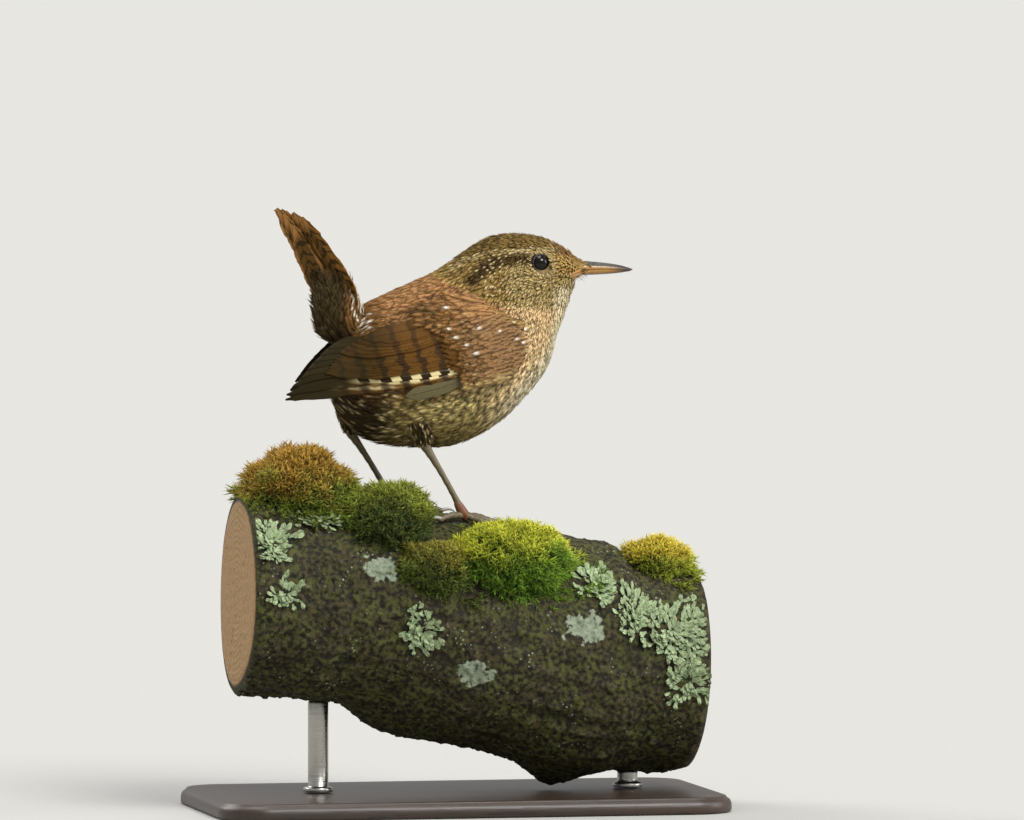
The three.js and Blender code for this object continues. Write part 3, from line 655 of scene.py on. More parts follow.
def tail_point(along, across, out):
    """A point of the twisted tail: along its axis, to the bird's right, out from its upper face."""
    axis = np.array([math.cos(TAIL_RISE), 0, math.sin(TAIL_RISE)])
    face = np.array([axis[2], 0, -axis[0]])
    c, s = math.cos(TAIL_TWIST), math.sin(TAIL_TWIST)
    right = face * s + np.array([0, -c, 0])
    upper = face * c + np.array([0, s, 0])
    base = np.array([TAIL_BASE[0], 0, TAIL_BASE[1]])
    return base + axis * along[..., None] + right * across[..., None] + upper * out[..., None]


def branch_axis(x):
    """The branch's axis height, radius and slope."""
    z, radius = np.moveaxis(row_at(BRANCH, x), -1, 0)
    slope = (row_at(BRANCH, x + 1)[..., 0] - row_at(BRANCH, x - 1)[..., 0]) / 2
    return z, radius, slope


def branch_top(x, y):
    """Height of the branch's upper surface over a point of the floor plan."""
    z, radius, slope = branch_axis(np.asarray(x, float))
    return z + np.sqrt(np.maximum(0, radius**2 - np.asarray(y) ** 2)) * np.hypot(1, slope)


def branch_point(x, turn, height=0.0):
    """A point over the branch, by its place along the axis and its turn from the top."""
    x, turn = np.broadcast_arrays(np.asarray(x, float), np.asarray(turn, float))
    z, radius, slope = branch_axis(x)
    along = unit(stacked(np.ones_like(x), np.zeros_like(x), slope))
    up = stacked(-along[..., 2], np.zeros_like(x), along[..., 0])
    below = (1 - np.cos(turn)) / 2
    swell = 0.7 * below * (np.sin(3 * turn + 0.13 * x) + np.sin(2 * turn - 0.21 * x))
    knot = 2.4 * np.exp(-(((x - KNOT_X) / 4.2) ** 2) - ((np.abs(turn) - np.pi) / 0.2) ** 2)
    reach = (radius + swell + knot + height)[..., None]
    out = up * np.cos(turn)[..., None] + np.array([0, 1, 0]) * np.sin(turn)[..., None]
    return stacked(x, np.zeros_like(x), z) + out * reach


# Plumage: ground colours and marks by the place on the bird

BROW_LINE = [(20.5, 120.2), (15.9, 120.1), (9.5, 119.7), (5.8, 119.4), (1.7, 118.0), (-1.5, 115.9)]
STRIPE_LINE = [(15.0, 118.0), (11.5, 118.1), (7.5, 117.5), (4.7, 115.9), (2.0, 113.5)]
PLUMAGE_NAMES = (
    "crown forehead brow stripe cheek lores gape neck pale throat breast flank belly vent dark "
    "mantle rump white"
)


def palette(group, names):
    """The named colours of a settings group, as arrays."""
    settings = getattr(bpy.context.scene, "wren_" + group)
    return {name: np.array(getattr(settings, name)[:]) for name in names.split()}


def plumage_colours():
    """The colours of the coat."""
    return palette("plumage", PLUMAGE_NAMES)


def plumage(c, x, z, t, u):
    """Ground colour of the plumage at places of the side view."""
    ground = blend(np.broadcast_to(c["flank"], x.shape + (3,)), c["breast"], fall(0.5, 0.64, t))
    # towards the underside and the rear the ground darkens to belly and vent: partly their own colours,
    # partly painted shade
    ground = blend(ground, c["belly"], rise(0.45, 0.85, -u) * rise(0.55, 0.68, t))
    ground = blend(ground, c["belly"], 0.55 * rise(0.66, 0.74, t) * fall(0.1, 0.35, u))
    ground = blend(ground, c["vent"], rise(0.735, 0.81, t) * fall(-0.1, 0.25, u))
    front = rise(0.6, 0.93, -u) * fall(0.5, 0.62, t) * rise(0.1, 0.2, t)
    ground = blend(ground, c["throat"], front)
    nape = 115.3 - (x + 5.4) * 0.492
    back = rise(-0.9, 0.9, nape - z) * rise(-0.5, -0.1, u) * fall(12.5, 16, x) * rise(0.4, 0.46, t)
    ground = blend(ground, c["mantle"], back)
    ground = blend(ground, c["rump"], rise(0.68, 0.8, t) * rise(-0.15, 0.15, u))
    head = rise(-1.2, 1.2, z - 108 + 0.1 * (x - 14)) * fall(0.3, 1.2, nape - z)
    ground = blend(ground, c["cheek"], head * fall(24.5, 27, x) * rise(-0.93, -0.75, u))
    ground = blend(ground, c["neck"], head * fall(7.5, 11, x))
    over = np.interp(x, [-6, -1.5, 1.7, 5.8, 9.5, 21], [113.4, 115.9, 118.2, 119.5, 119.9, 120.4])
    ground = blend(ground, c["crown"], rise(-0.3, 0.5, z - over) * fall(0.45, 0.52, t))
    slant = z + 0.45 * np.maximum(0, x - 23)
    ground = blend(ground, c["forehead"], rise(19.5, 23, x) * rise(117.5, 119, slant))
    lores = rise(20.3, 21.6, x) * rise(114.8, 116.2, z) * fall(118.4, 119.6, slant)
    ground = blend(ground, c["lores"], lores)
    ground = blend(ground, c["stripe"], 0.95 * fall(0.5, 1.9, line_distance(x, z, STRIPE_LINE)))
    ground = blend(ground, c["brow"], 0.32 * fall(0.1, 0.8, line_distance(x, z, BROW_LINE)))
    ground = blend(ground, c["throat"], rise(19, 22, x) * fall(110.8, 112.8, z) * 0.7)
    # the mouth's corner widens backwards
    corner = rise(20.2, 21.8, x) * fall(0.0, 0.9, np.abs(z - 115.2 + 0.1 * (27 - x)) - 0.13 * (27.6 - x))
    return blend(ground, c["gape"], 0.6 * corner)


def mark_strengths(x, z, t, u):
    """How likely a feather carries a pale drop, a dark dash, a pale streak or a white tip."""
    head = fall(0.43, 0.5, t)
    nape = 115.3 - (x + 5.4) * 0.492
    neck = head * fall(8, 12, x) * fall(-0.2, 0.8, nape - z) * rise(-0.6, -0.3, u)
    brow = fall(0.5, 1.1, line_distance(x, z, BROW_LINE))
    drop = np.clip(0.34 * neck * fall(0.5, 0.9, u) + 0.32 * brow, 0, 1)
    cheek = head * rise(9, 12, x) * fall(0.4, 0.75, u)
    streak = 0.35 * cheek + 0.25 * rise(0.74, 0.84, t) * fall(-0.3, 0, u)
    crown = head * rise(0.5, 0.8, u)
    under = fall(-0.15, 0.15, u) * rise(0.42, 0.56, t)
    dash = 0.4 * crown + 0.22 * cheek + 0.5 * under + 0.2 * fall(-0.1, 0.2, u) * rise(0.3, 0.42, t)
    drop = drop + 0.14 * under * rise(0.6, 0.7, t) * fall(0.78, 0.84, t)
    back = rise(0.0, 0.3, u) * rise(0.46, 0.54, t)
    # a patch of white tips marks the rump's side
    patch = fall(1.2, 3.0, np.hypot(x + 21.5, z - 104.5))
    return {
        "drop": drop,
        "dash": np.clip(dash + 0.05 * back + 0.3 * neck, 0, 1),
        "streak": np.clip(streak, 0, 1),
        "white": 0.03 * rise(0.7, 0.8, t) * rise(0.1, 0.4, u) + 0.6 * patch,
    }


# Small feathers


def tuft_template(rng, barbs):
    """One small feather: a thin vane with free barbs. Rows of (along, across, out) and faces."""
    shares = np.array([0.0, 0.3, 0.58, 0.8, 0.93])
    widths = np.array([0.22, 0.6, 0.68, 0.46, 0.1])
    points, faces = [], []
    for s, w in zip(shares, widths):
        points += [(s, -w, 0.0), (s, 0.0, 1.0), (s, w, 0.0)]
    for j in range(len(shares) - 1):
        for k in range(3):
            a, b = 3 * j + k, 3 * j + (k + 1) % 3
            faces += [(a, b, b + 3), (a, b + 3, a + 3)]
    end = 3 * (len(shares) - 1)
    faces += [(0, 2, 1), (end, end + 1, end + 2)]
    for i in range(barbs):
        hand = 1 if i % 2 else -1
        s = 0.22 + 0.66 * (i // 2) / max(1, barbs // 2 - 1) + rng.uniform(-0.03, 0.03)
        w = hand * max(0.0, np.interp(s, shares, widths) - 0.14)
        reach = rng.uniform(0.2, 0.38)
        out = hand * rng.uniform(0.16, 0.62) * (1.25 - s)
        base = len(points)
        points += [(s, w, 0.0), (s + 0.07, w, 0.1), (s + 0.035, w, 0.9)]
        points += [(min(1.12, s + reach), w + out, rng.uniform(-0.4, 1.6))]
        faces += [(base, base + 1, base + 2), (base, base + 3, base + 1)]
        faces += [(base + 1, base + 3, base + 2), (base + 2, base + 3, base)]
    return np.array(points), np.array(faces)


def mark_colours(c, ground, template, marks, rng):
    """Colours of feathers' points from the ground colour and each feather's own marks."""
    s, w = template[:, 0], np.abs(template[:, 1])
    count = len(ground)
    tone = rng.normal(1, 0.06, (count, 1, 1)) + rng.normal(0, 0.085, (count, len(s), 1))
    # painted shade: each feather is darker at its base, which lies under the tips of others
    made = ground * tone * (0.86 + 0.2 * rise(0.3, 0.85, s))[None, :, None]
    middle = fall(0.3, 0.65, w)
    edge = rise(0.45, 0.8, w)
    shapes = {
        "dash": ("dark", middle * rise(0.62, 0.74, s) * fall(0.95, 1.04, s)),
        "streak": ("pale", middle * rise(0.5, 0.75, s) * 0.55),
        "drop": ("pale", fall(0.35, 0.8, w) * rise(0.66, 0.78, s)),
        "white": ("white", rise(0.7, 0.8, s) * fall(0.4, 0.75, w)),
    }
    for mark, (name, shape) in shapes.items():
        has = rng.random(count) < marks.get(mark, 0.0)
        if mark == "drop":
            made = blend(made, c["dark"], has[:, None] * 0.55 * (edge * rise(0.5, 0.7, s))[None])
        made = blend(made, c[name], has[:, None] * 0.9 * shape[None])
    return made


def lay_tufts(form, surface, roots, sizes, paint, rng, barbs=14, wide=1.0):
    """Lays small feathers on a surface. roots holds t, phi and turn, sizes holds length, width,
    root height, tip height and thickness, and paint gives the colours of the feathers' points."""
    variants = [tuft_template(np.random.default_rng(k), barbs) for k in range(6)]
    t, phi, turn = roots
    choice = rng.integers(0, len(variants), len(t))
    _, _, stretch_t, stretch_phi = measured(surface, t, phi)
    for k, (template, faces) in enumerate(variants):
        own = np.flatnonzero(choice == k)
        if not len(own):
            continue
        length_, width, low, high, thick = (size[own, None] for size in sizes)
        s, w, h = template.T
        along, across = s * length_, w * width / 2 * wide
        cos, sin = np.cos(turn[own, None]), np.sin(turn[own, None])
        at_t = t[own, None] + (along * cos - across * sin) / stretch_t[own, None]
        at_phi = phi[own, None] + (along * sin + across * cos) / stretch_phi[own, None]
        at_t = np.clip(at_t, 0, 1)
        point, normal, _, _ = measured(surface, at_t, at_phi)
        height = low + (high - low) * np.maximum(s, 0) ** 1.3 + h * thick
        point = point + normal * height[..., None]
        index = faces[None] + (np.arange(len(own)) * len(template))[:, None, None]
        uv = stacked(t[own, None] + s * 0.003, phi[own, None] / (2 * np.pi) + 0.5 + w * 0.0015)
        form.add(
            point,
            [index.reshape(-1, 3)],
            tint=paint(own, template, point, at_t, at_phi).reshape(-1, 3),
            uv=np.clip(uv, 0, 1).reshape(-1, 2),
        )


def rows_over(surface, spacing_t, spacing_phi, rng, start=0.0, end=1.0):
    """Staggered roots over a surface, with the given spacings in millimetres by share."""
    t, k = start, 0
    found = []
    turns = circle(64, -np.pi)
    while t < end:
        here = np.full(turns.shape, t)
        _, _, stretch, wide = measured(surface, here, turns)
        around = np.cumsum(wide) * (turns[1] - turns[0])
        count = max(3, int(around[-1] / spacing_phi(t)))
        at = (np.arange(count) + 0.5 * (k % 2)) / count * around[-1]
        phi = np.interp(at, around, turns) + rng.normal(0, 0.22 / count * 2 * np.pi, count)
        loose = rng.normal(0, 0.25, count) * spacing_t(t) / stretch.mean()
        found.append(np.stack([np.full(count, t) + loose, phi]))
        t += spacing_t(t) / stretch.mean()
        k += 1
    t, phi = np.concatenate(found, 1)
    return np.clip(t, start, min(end, 0.999)), (phi + np.pi) % (2 * np.pi) - np.pi


# Materials


def node(tree, kind, inputs=(), **settings):
    """Adds a node with its settings, and links its inputs to sockets or sets them to values."""
    made = tree.nodes.new(kind)
    for key, value in settings.items():
        setattr(made, key, value)
    for key, value in dict(inputs).items():
        if isinstance(value, bpy.types.NodeSocket):
            tree.links.new(value, made.inputs[key])
        else:
            made.inputs[key].default_value = value
    return made


def per(size):
    """Scale of a pattern whose swells are this many millimetres."""
    return 1 / (size * MM)


class Look:
    """A material in the making: its shader with plain values, and what feeds it."""

    def __init__(self, name, **sockets):
        self.material = bpy.data.materials.new(name)
        self.material.use_nodes = True
        self.tree = self.material.node_tree
        self.shader = self.tree.nodes["Principled BSDF"]
        for key, value in sockets.items():
            self.shader.inputs[key.replace("_", " ")].default_value = value

    def places(self, stretch=None):
        """Object coordinates, which are metres of the frame, stretched if asked."""
        at = node(self.tree, "ShaderNodeTexCoord").outputs["Object"]
        if stretch is None:
            return at
        inputs = {"Vector": at, "Scale": stretch}
        return node(self.tree, "ShaderNodeMapping", inputs).outputs["Vector"]

    def value(self, name):
        """A number kept at the mesh's points."""
        return node(self.tree, "ShaderNodeAttribute", attribute_name=name).outputs["Fac"]

    def noise(self, size, detail=3.0, at=None, **more):
        """Noise with swells of a size in millimetres."""
        inputs = {"Vector": at or self.places(), "Scale": per(size), "Detail": detail, **more}
        return node(self.tree, "ShaderNodeTexNoise", inputs).outputs["Fac"]

    def math(self, operation, *values):
        """A sum of one, two or three numbers."""
        inputs = dict(enumerate(values))
        return node(self.tree, "ShaderNodeMath", inputs, operation=operation).outputs[0]

    def step(self, value, lo, hi):
        """0 to 1 as a value goes from lo to hi, smoothly."""
        inputs = {"Value": value, "From Min": lo, "From Max": hi}
        made = node(self.tree, "ShaderNodeMapRange", inputs, interpolation_type="SMOOTHSTEP")
        return made.outputs["Result"]

    def mix(self, share, one, other, kind="MIX"):
        """Mixes two colours, each a socket or three numbers."""
        one, other = (v if isinstance(v, bpy.types.NodeSocket) else (*v, 1.0) for v in (one, other))
        inputs = {0: share, 6: one, 7: other}
        made = node(self.tree, "ShaderNodeMix", inputs, data_type="RGBA", blend_type=kind)
        return made.outputs[2]

    def gloss(self, value, low, high):
        """Lets the roughness follow a pattern."""
        inputs = {"Value": value, "From Min": 0.3, "From Max": 0.7, "To Min": low, "To Max": high}
        made = node(self.tree, "ShaderNodeMapRange", inputs)
        self.tree.links.new(made.outputs["Result"], self.shader.inputs["Roughness"])

    def done(self, base, height=None, depth=0.0, strength=1.0):
        """Sets the colour, and bumps the surface by a height in millimetres."""
        self.tree.links.new(base, self.shader.inputs["Base Color"])
        if height is not None:
            inputs = {"Height": height, "Distance": depth * MM, "Strength": strength}
            bump = node(self.tree, "ShaderNodeBump", inputs)
            self.tree.links.new(bump.outputs["Normal"], self.shader.inputs["Normal"])
        return self.material

    def flecked(self, fleck, lo, dark, pale, depth, strength=1.0):
        """Sets the colour kept at the mesh's points, lighter and darker with a fleck."""
        tint = node(self.tree, "ShaderNodeVertexColor", layer_name="tint").outputs["Color"]
        tone = self.mix(self.step(fleck, lo, 1 - lo), dark, pale)
        return self.done(self.mix(1.0, tint, tone, "MULTIPLY"), fleck, depth, strength)


def contour_feather():
    """Contour feathers, keratin barbs grown loose. The eye sees soft matt down with a faint sheen,
    flecked where the barbs part."""
    look = Look("contour_feather", Roughness=0.85, IOR=1.45, Specular_IOR_Level=0.15, Sheen_Weight=0.02)
    # barbs stand 0.05 mm apart, and are drawn 0.3 mm apart so that they show
    fleck = look.noise(0.3, 2.0)
    return look.flecked(fleck, 0.3, (0.78, 0.76, 0.72), (1.16, 1.15, 1.12), 0.06, 0.6)


def skin_under_down():
    """Skin under the coat, covered by grey down. The eye only meets it between feathers."""
    look = Look("down_over_skin", Roughness=0.95, IOR=1.45)
    return look.flecked(look.noise(0.5, 4.0), 0.35, (0.5, 0.48, 0.46), (0.95, 0.93, 0.9), 0.12)


def leafy(name, roughness, size, depth, glow):
    """Moss leaves or lichen, grown in the damp. The eye sees thin matt blades that let some light
    through, each shoot its own green or yellow."""
    look = Look(name, Roughness=roughness, IOR=1.45, Subsurface_Weight=glow, Subsurface_Scale=0.0008)
    return look.flecked(look.noise(size, 4.0), 0.3, (0.72, 0.74, 0.7), (1.2, 1.18, 1.15), depth)


def flight_vane(name, ground, pale, c, bars, edge=0.0, fringe=0.0):
    """Flight feathers, closed vanes of hooked barbs round a shaft. The eye sees slanting barb lines,
    a satin gloss along them, a smooth shaft, and bars that cross each vane."""
    look = Look(name, Roughness=0.65, IOR=1.5, Specular_IOR_Level=0.1)
    dark = c["bar"]
    across, phase, along = (look.value(key) for key in ("across", "bar", "along"))
    side = look.math("ABSOLUTE", across)
    # barbs slant forward from the shaft; they are 0.1 mm apart, drawn 0.55 mm apart to show
    slant = look.math("MULTIPLY_ADD", side, 1.6, along)
    lines = look.math("SINE", look.math("MULTIPLY", slant, 2 * math.pi / 0.55))
    wobble = look.noise(1.4)
    barb = look.math("MULTIPLY_ADD", lines, 0.5, wobble)
    fine = look.noise(0.35)
    # wavy bars with broken edges
    wave = look.math("MULTIPLY_ADD", wobble, bars["wave"], phase)
    wave = look.math("MULTIPLY_ADD", side, bars["bow"], wave)
    beat = look.math("SINE", look.math("MULTIPLY", wave, 2 * math.pi))
    beat = look.math("MULTIPLY_ADD", fine, 0.5, beat)
    strength = look.math("MULTIPLY", look.step(beat, *bars["span"]), bars["strength"])
    base = look.mix(look.step(fine, 0.3, 0.75), 0.74 * ground, ground)
    if pale is not None:
        # the edge of the folded primaries carries pale blocks between wide dark ones
        block = look.value("cream")
        base = look.mix(block, base, pale)
        wide = look.math("MULTIPLY", look.step(beat, 0.05, 0.35), block)
        strength = look.math("MAXIMUM", strength, wide)
    base = look.mix(strength, base, dark)
    base = look.mix(look.value("tip"), base, c["shade"])
    if fringe:
        rim = look.math("MULTIPLY", look.step(side, 0.72, 0.98), fringe)
        base = look.mix(rim, base, bars["white"])
    if edge:
        # each feather's upper edge lies in the shade of the next
        base = look.mix(look.math("MULTIPLY", look.step(across, 0.3, 1.0), edge), base, dark)
    shaft = look.math("MULTIPLY", look.step(side, 0.075, 0.02), 0.6)
    base = look.mix(shaft, base, 0.5 * dark)
    tone = look.math("MULTIPLY_ADD", look.value("seed"), 0.3, 0.85)
    grey = node(look.tree, "ShaderNodeCombineColor", dict.fromkeys(range(3), tone)).outputs[0]
    base = look.mix(1.0, base, grey, "MULTIPLY")
    return look.done(look.mix(look.value("white"), base, bars["white"]), barb, 0.05, 0.55)


def horn_of_bill():
    """Keratin of a small bill, grown in one sheath. The eye sees slate grey over ochre, darker at
    the cutting edges and tip, with a soft polish. The dark line along the mouth is painted shade."""
    c = palette("horn", "culmen horn tip")
    look = Look("bill_keratin", Roughness=0.32, IOR=1.55, Coat_Weight=0.25, Coat_Roughness=0.2)
    high = look.value("high")
    streak = look.noise(0.9, 4.0, Distortion=0.4)
    rough_high = look.math("MULTIPLY_ADD", streak, 0.2, high)
    base = look.mix(look.step(rough_high, 0.55, 0.85), c["horn"], c["culmen"])
    base = look.mix(look.step(rough_high, 0.24, 0.12), base, c["tip"])
    # painted shade: a dark line runs along the closed mouth, under the upper half's overhanging edge
    mouth = look.math("ABSOLUTE", look.math("SUBTRACT", high, 0.35))
    base = look.mix(look.math("MULTIPLY", look.step(mouth, 0.06, 0.01), 0.7), base, c["tip"])
    base = look.mix(look.step(look.value("far"), 0.4, 0.92), base, c["tip"])
    return look.done(base, look.noise(0.45), 0.03)


def eye_surface():
    """A living eye cast in glass, as in a mounted bird. The eye sees near black brown under a
    wet clear dome."""
    iris = palette("horn", "iris")["iris"]
    wet = {"Specular_IOR_Level": 0.42, "Coat_Weight": 0.1, "Coat_Roughness": 0.02}
    look = Look("glass_eye", Roughness=0.06, IOR=1.36, **wet)
    return look.done(look.mix(look.step(look.noise(0.5, 5.0), 0.35, 0.7), 0.25 * iris, iris))


def scuted_skin(name, main, gap, roughness):
    """Horny leg skin, in overlapping scutes. The eye sees pinkish brown plates with darker gaps
    and a waxy light along their edges."""
    look = Look(name, Roughness=roughness, IOR=1.5, Subsurface_Weight=0.05, Subsurface_Scale=0.001)
    base = look.mix(look.step(look.noise(1.1, 4.0), 0.3, 0.7), main, 0.72 * main)
    base = look.mix(look.step(look.value("ridge"), 0.45, 0.1), base, gap)
    return look.done(base, look.noise(0.25), 0.04)


def bark_surface():
    """Wet beech-like bark, grown and weathered. The eye sees near black cracks, brown ridges,
    a green film of algae on the sides, and pale specks of crust."""
    c = palette("perch", "bark bark_dark algae crust")
    look = Look("algae_covered_bark", Roughness=0.8, IOR=1.45, Specular_IOR_Level=0.25)
    broad = look.noise(5.0, 8.0, Distortion=0.9)
    small = look.noise(1.0, 6.0)
    base = look.mix(look.step(small, 0.35, 0.7), c["bark_dark"], c["bark"])
    # painted shade: the bark is darkened to near black where it lies low, in its cracks
    base = look.mix(look.step(look.value("height"), 0.45, 0.1), base, c["bark_dark"])
    film = look.math("MULTIPLY", look.step(broad, 0.36, 0.7), look.step(small, 0.35, 0.65))
    base = look.mix(look.math("MULTIPLY", film, 0.7), base, c["algae"])
    # specks of crust, 0.6 mm and larger, in drifts
    inputs = {"Vector": look.places(), "Scale": per(1.1), "Randomness": 1.0}
    specks = node(look.tree, "ShaderNodeTexVoronoi", inputs).outputs["Distance"]
    dots = look.step(look.math("MULTIPLY_ADD", look.noise(0.5), 0.25, specks), 0.36, 0.26)
    drift = look.step(look.noise(6.0, 4.0, Distortion=0.3), 0.5, 0.66)
    share = look.math("MULTIPLY", look.math("MULTIPLY", dots, drift), 0.8)
    base = look.mix(share, base, c["crust"])
    ragged = look.math("MULTIPLY_ADD", small, 1.4, look.value("crust"))
    pale = look.mix(look.step(small, 0.3, 0.7), 0.5 * c["crust"], c["crust"])
    base = look.mix(look.step(ragged, 1.3, 1.55), base, pale)
    look.gloss(small, 0.6, 0.95)
    return look.done(base, small, 0.5, 0.8)


def sawn_wood():
    """Green hardwood cut across with a fine saw. The eye sees year rings, small cracks from the
    middle and faint straight saw marks."""
    c = palette("perch", "sawn ring")
    look = Look("sawn_hardwood", Roughness=0.75, IOR=1.5)
    out = look.value("out")
    # a year is about 1.3 mm of wood
    years = look.math("MULTIPLY_ADD", look.noise(7.0), 2.2, look.math("DIVIDE", out, 1.3))
    base = look.mix(look.step(look.math("FRACT", years), 0.35, 0.95), c["sawn"], c["ring"])
    grain = look.noise(0.5, 4.0)
    base = look.mix(look.step(grain, 0.3, 0.8), base, 0.6 * c["ring"])
    base = look.mix(look.step(out, 19.6, 20.4), base, 0.25 * c["ring"])
    inputs = {"Vector": look.places(), "Scale": per(8.0), "Distortion": 1.0}
    saw = node(look.tree, "ShaderNodeTexWave", inputs, bands_direction="Z").outputs["Fac"]
    return look.done(base, look.math("ADD", saw, grain), 0.1, 0.5)


def stained_oak():
    """Oak, planed, stained dark and waxed. The eye sees long open pores with the grain and a low
    satin light."""
    c = palette("stand", "wood pore")
    look = Look("stained_oak", Roughness=0.42, IOR=1.5, Coat_Weight=0.15, Coat_Roughness=0.35)
    at = look.places((0.06, 1, 1))
    # pores are 0.3 mm wide and some 5 mm long
    fine = look.noise(0.35, 3.0, at)
    broad = look.noise(4.0, 3.0, at, Distortion=0.5)
    base = look.mix(look.step(broad, 0.35, 0.65), 0.6 * c["wood"], c["wood"])
    return look.done(look.mix(look.step(fine, 0.42, 0.33), base, c["pore"]), fine, 0.05)


def brushed_steel():
    """Stainless steel, drawn and brushed round. The eye sees fine rings of light across the rod."""
    steel = palette("stand", "steel")["steel"]
    look = Look("brushed_steel", Metallic=1.0, Roughness=0.3)
    # scratches of a fine grit, drawn 0.25 mm apart
    lines = look.noise(0.9, 4.0, look.places((0.15, 0.15, 4)))
    look.gloss(lines, 0.22, 0.42)
    base = look.mix(look.step(lines, 0.3, 0.7), 0.75 * steel, steel)
    return look.done(base, lines, 0.02, 0.4)


def studio_paper():
    """Matt seamless paper, rolled out flat. The eye sees an even pale ground."""
    pale = palette("stage", "floor")["floor"]
    look = Look("seamless_paper", Roughness=0.9, IOR=1.45)
    return look.done(look.mix(look.step(look.noise(2.0, 4.0), 0.3, 0.7), 0.97 * pale, pale))


def feather_look():
    """The contour feathers' material, made on first use."""
    return bpy.data.materials.get("contour_feather") or contour_feather()


# Coat


def paint_coat(c, rng):
    """How feathers on the body are painted: ground colours, and marks by the place of each tip."""

    def paint(own, template, point, t, phi):
        x, z, u = point[..., 0], point[..., 2], np.cos(phi)
        tip = int(np.argmin(np.abs(template[:, 0] - 0.8)))
        marks = mark_strengths(x[:, tip], z[:, tip], t[:, tip], u[:, tip])
        return mark_colours(c, plumage(c, x, z, t, u), template, marks, rng)

    return paint


def eye_coords():
    """Place of the left eye on the body's surface, and the surface's two stretches there."""
    t, u, _ = body_coords(EYE_AT[0] + 0.3, EYE_AT[2] + 0.1)
    t, phi = float(t), float(np.arccos(u))
    _, _, along, across = measured(body_point, np.array([t]), np.array([phi]))
    return t, phi, along[0], across[0]


def round_the_eye(t, phi):
    """Which way feathers turn to flow round the eye, and how far from its middle they grow."""
    eye_t, eye_phi, stretch_t, stretch_phi = eye_coords()
    along = (t - eye_t) * stretch_t
    across = (np.abs(phi) - eye_phi) * stretch_phi
    far = np.hypot(along, across)
    ring, near = 2.35**2, np.maximum(far, 0.5) ** 4
    speed = 1 - ring * (along**2 - across**2) / near
    drift = -2 * ring * along * across / near
    return np.arctan2(drift, np.maximum(speed, 0.05)) * np.sign(phi) * fall(4.5, 7.0, far), far


def head_share(t):
    """1 on the head, 0 on the body."""
    return fall(0.34, 0.56, t)


def body_coat(settings, rng):
    """Roots, turns and sizes of every feather on head, neck and body."""
    head, body = settings.head_spacing / MM, settings.body_spacing / MM

    def spacing(t):
        return float(body + (head - body) * head_share(t) - 0.12 * head * fall(0.0, 0.12, t))

    t, phi = rows_over(body_point, spacing, lambda t: 0.86 * spacing(t), rng)
    turn, far = round_the_eye(t, phi)
    # none grows on the eye or on the bill's sheath, and none is needed under the folded wing
    point = body_point(t, phi)
    a, b = wing_place(point[:, 0], point[:, 2])
    under = (a > 4) & (a < 25) & (b > 1) & (b < 7.5) & (np.abs(np.sin(phi)) > 0.5)
    keep = (far > 2.5) & (t > 0.045) & ~under
    t, phi, turn, far = (value[keep] for value in (t, phi, turn, far))
    turn = turn + rng.normal(0, 0.17, len(t))
    on_head, face = head_share(t), fall(0.1, 0.3, t)
    back = rise(0.1, 0.4, np.cos(phi)) * (1 - on_head)
    run = (4.6 + (2.2 - 4.6) * on_head - 0.9 * face) * rng.uniform(0.8, 1.16, len(t))
    wide = (1.9 + (0.94 - 1.9) * on_head - 0.22 * face) * rng.uniform(0.85, 1.15, len(t))
    fluff = 0.28 * rise(0.55, 0.8, t) * fall(-0.6, 0.1, np.cos(phi))
    run = run * (1 + 0.2 * back)
    # those just before the eye stay short of it
    before = (t < eye_coords()[0]) & (far < 4.2)
    run = np.where(before, np.minimum(run, 0.55 + 0.9 * (far - 2.5)), run)
    low = -0.42 + 0.12 * np.maximum(on_head, back)
    high = 0.2 - 0.06 * on_head + fluff + rng.normal(0, 0.07, len(t)) * (1 - 0.6 * back)
    thick = 0.085 - 0.015 * on_head - 0.04 * back
    return (t, phi, turn), (run, wide, low, high, thick)


def skin_form():
    """The bare body under the coat: head and body, tail root and thighs, before they are joined."""
    form = Form()

    def shell(surface, rows, sides, inset, low=0.0, high=1.0):
        t, phi = crossed(np.linspace(low, high, rows), circle(sides, -np.pi))
        point, normal, _, _ = measured(surface, t, phi)
        form.add(*loft(point - normal * inset(t)[..., None]))

    shell(body_point, 120, 96, lambda t: 0.95 - 0.4 * head_share(t) + 0.5 * fall(0.0, 0.03, t), 0.004, 0.996)
    shell(tail_root_surface(), 24, 40, lambda t: np.full(t.shape, 0.8), 0.0, 0.97)
    for name in LEGS:
        shell(thigh_surface(name), 20, 32, lambda t: 0.75 - 0.5 * t)
    return form


def remeshed(form, name, voxel):
    """The form's shapes joined into one even skin."""
    source = bpy.data.objects.new(name + "_source", form.mesh(name + "_source"))
    bpy.context.scene.collection.objects.link(source)
    source.modifiers.new("join", "REMESH").voxel_size = voxel * MM
    source.modifiers.new("smooth", "SMOOTH").iterations = 3
    ready = source.evaluated_get(bpy.context.evaluated_depsgraph_get())
    mesh = bpy.data.meshes.new_from_object(ready)
    mesh.name = name
    old = source.data
    bpy.data.objects.remove(source)
    bpy.data.meshes.remove(old)
    return mesh


def painted(mesh, colours_at):
    """Gives a mesh its tint, from a function of its points in millimetres."""
    points = np.zeros(len(mesh.vertices) * 3, np.float32)
    mesh.vertices.foreach_get("co", points)
    points = points.reshape(-1, 3) / MM
    layer = mesh.color_attributes.new("tint", "FLOAT_COLOR", "POINT")
    rgba = np.hstack([colours_at(points), np.ones((len(points), 1))])
    layer.data.foreach_set("color", rgba.astype(np.float32).ravel())
    mesh.polygons.foreach_set("use_smooth", np.ones(len(mesh.polygons), bool))
    return mesh


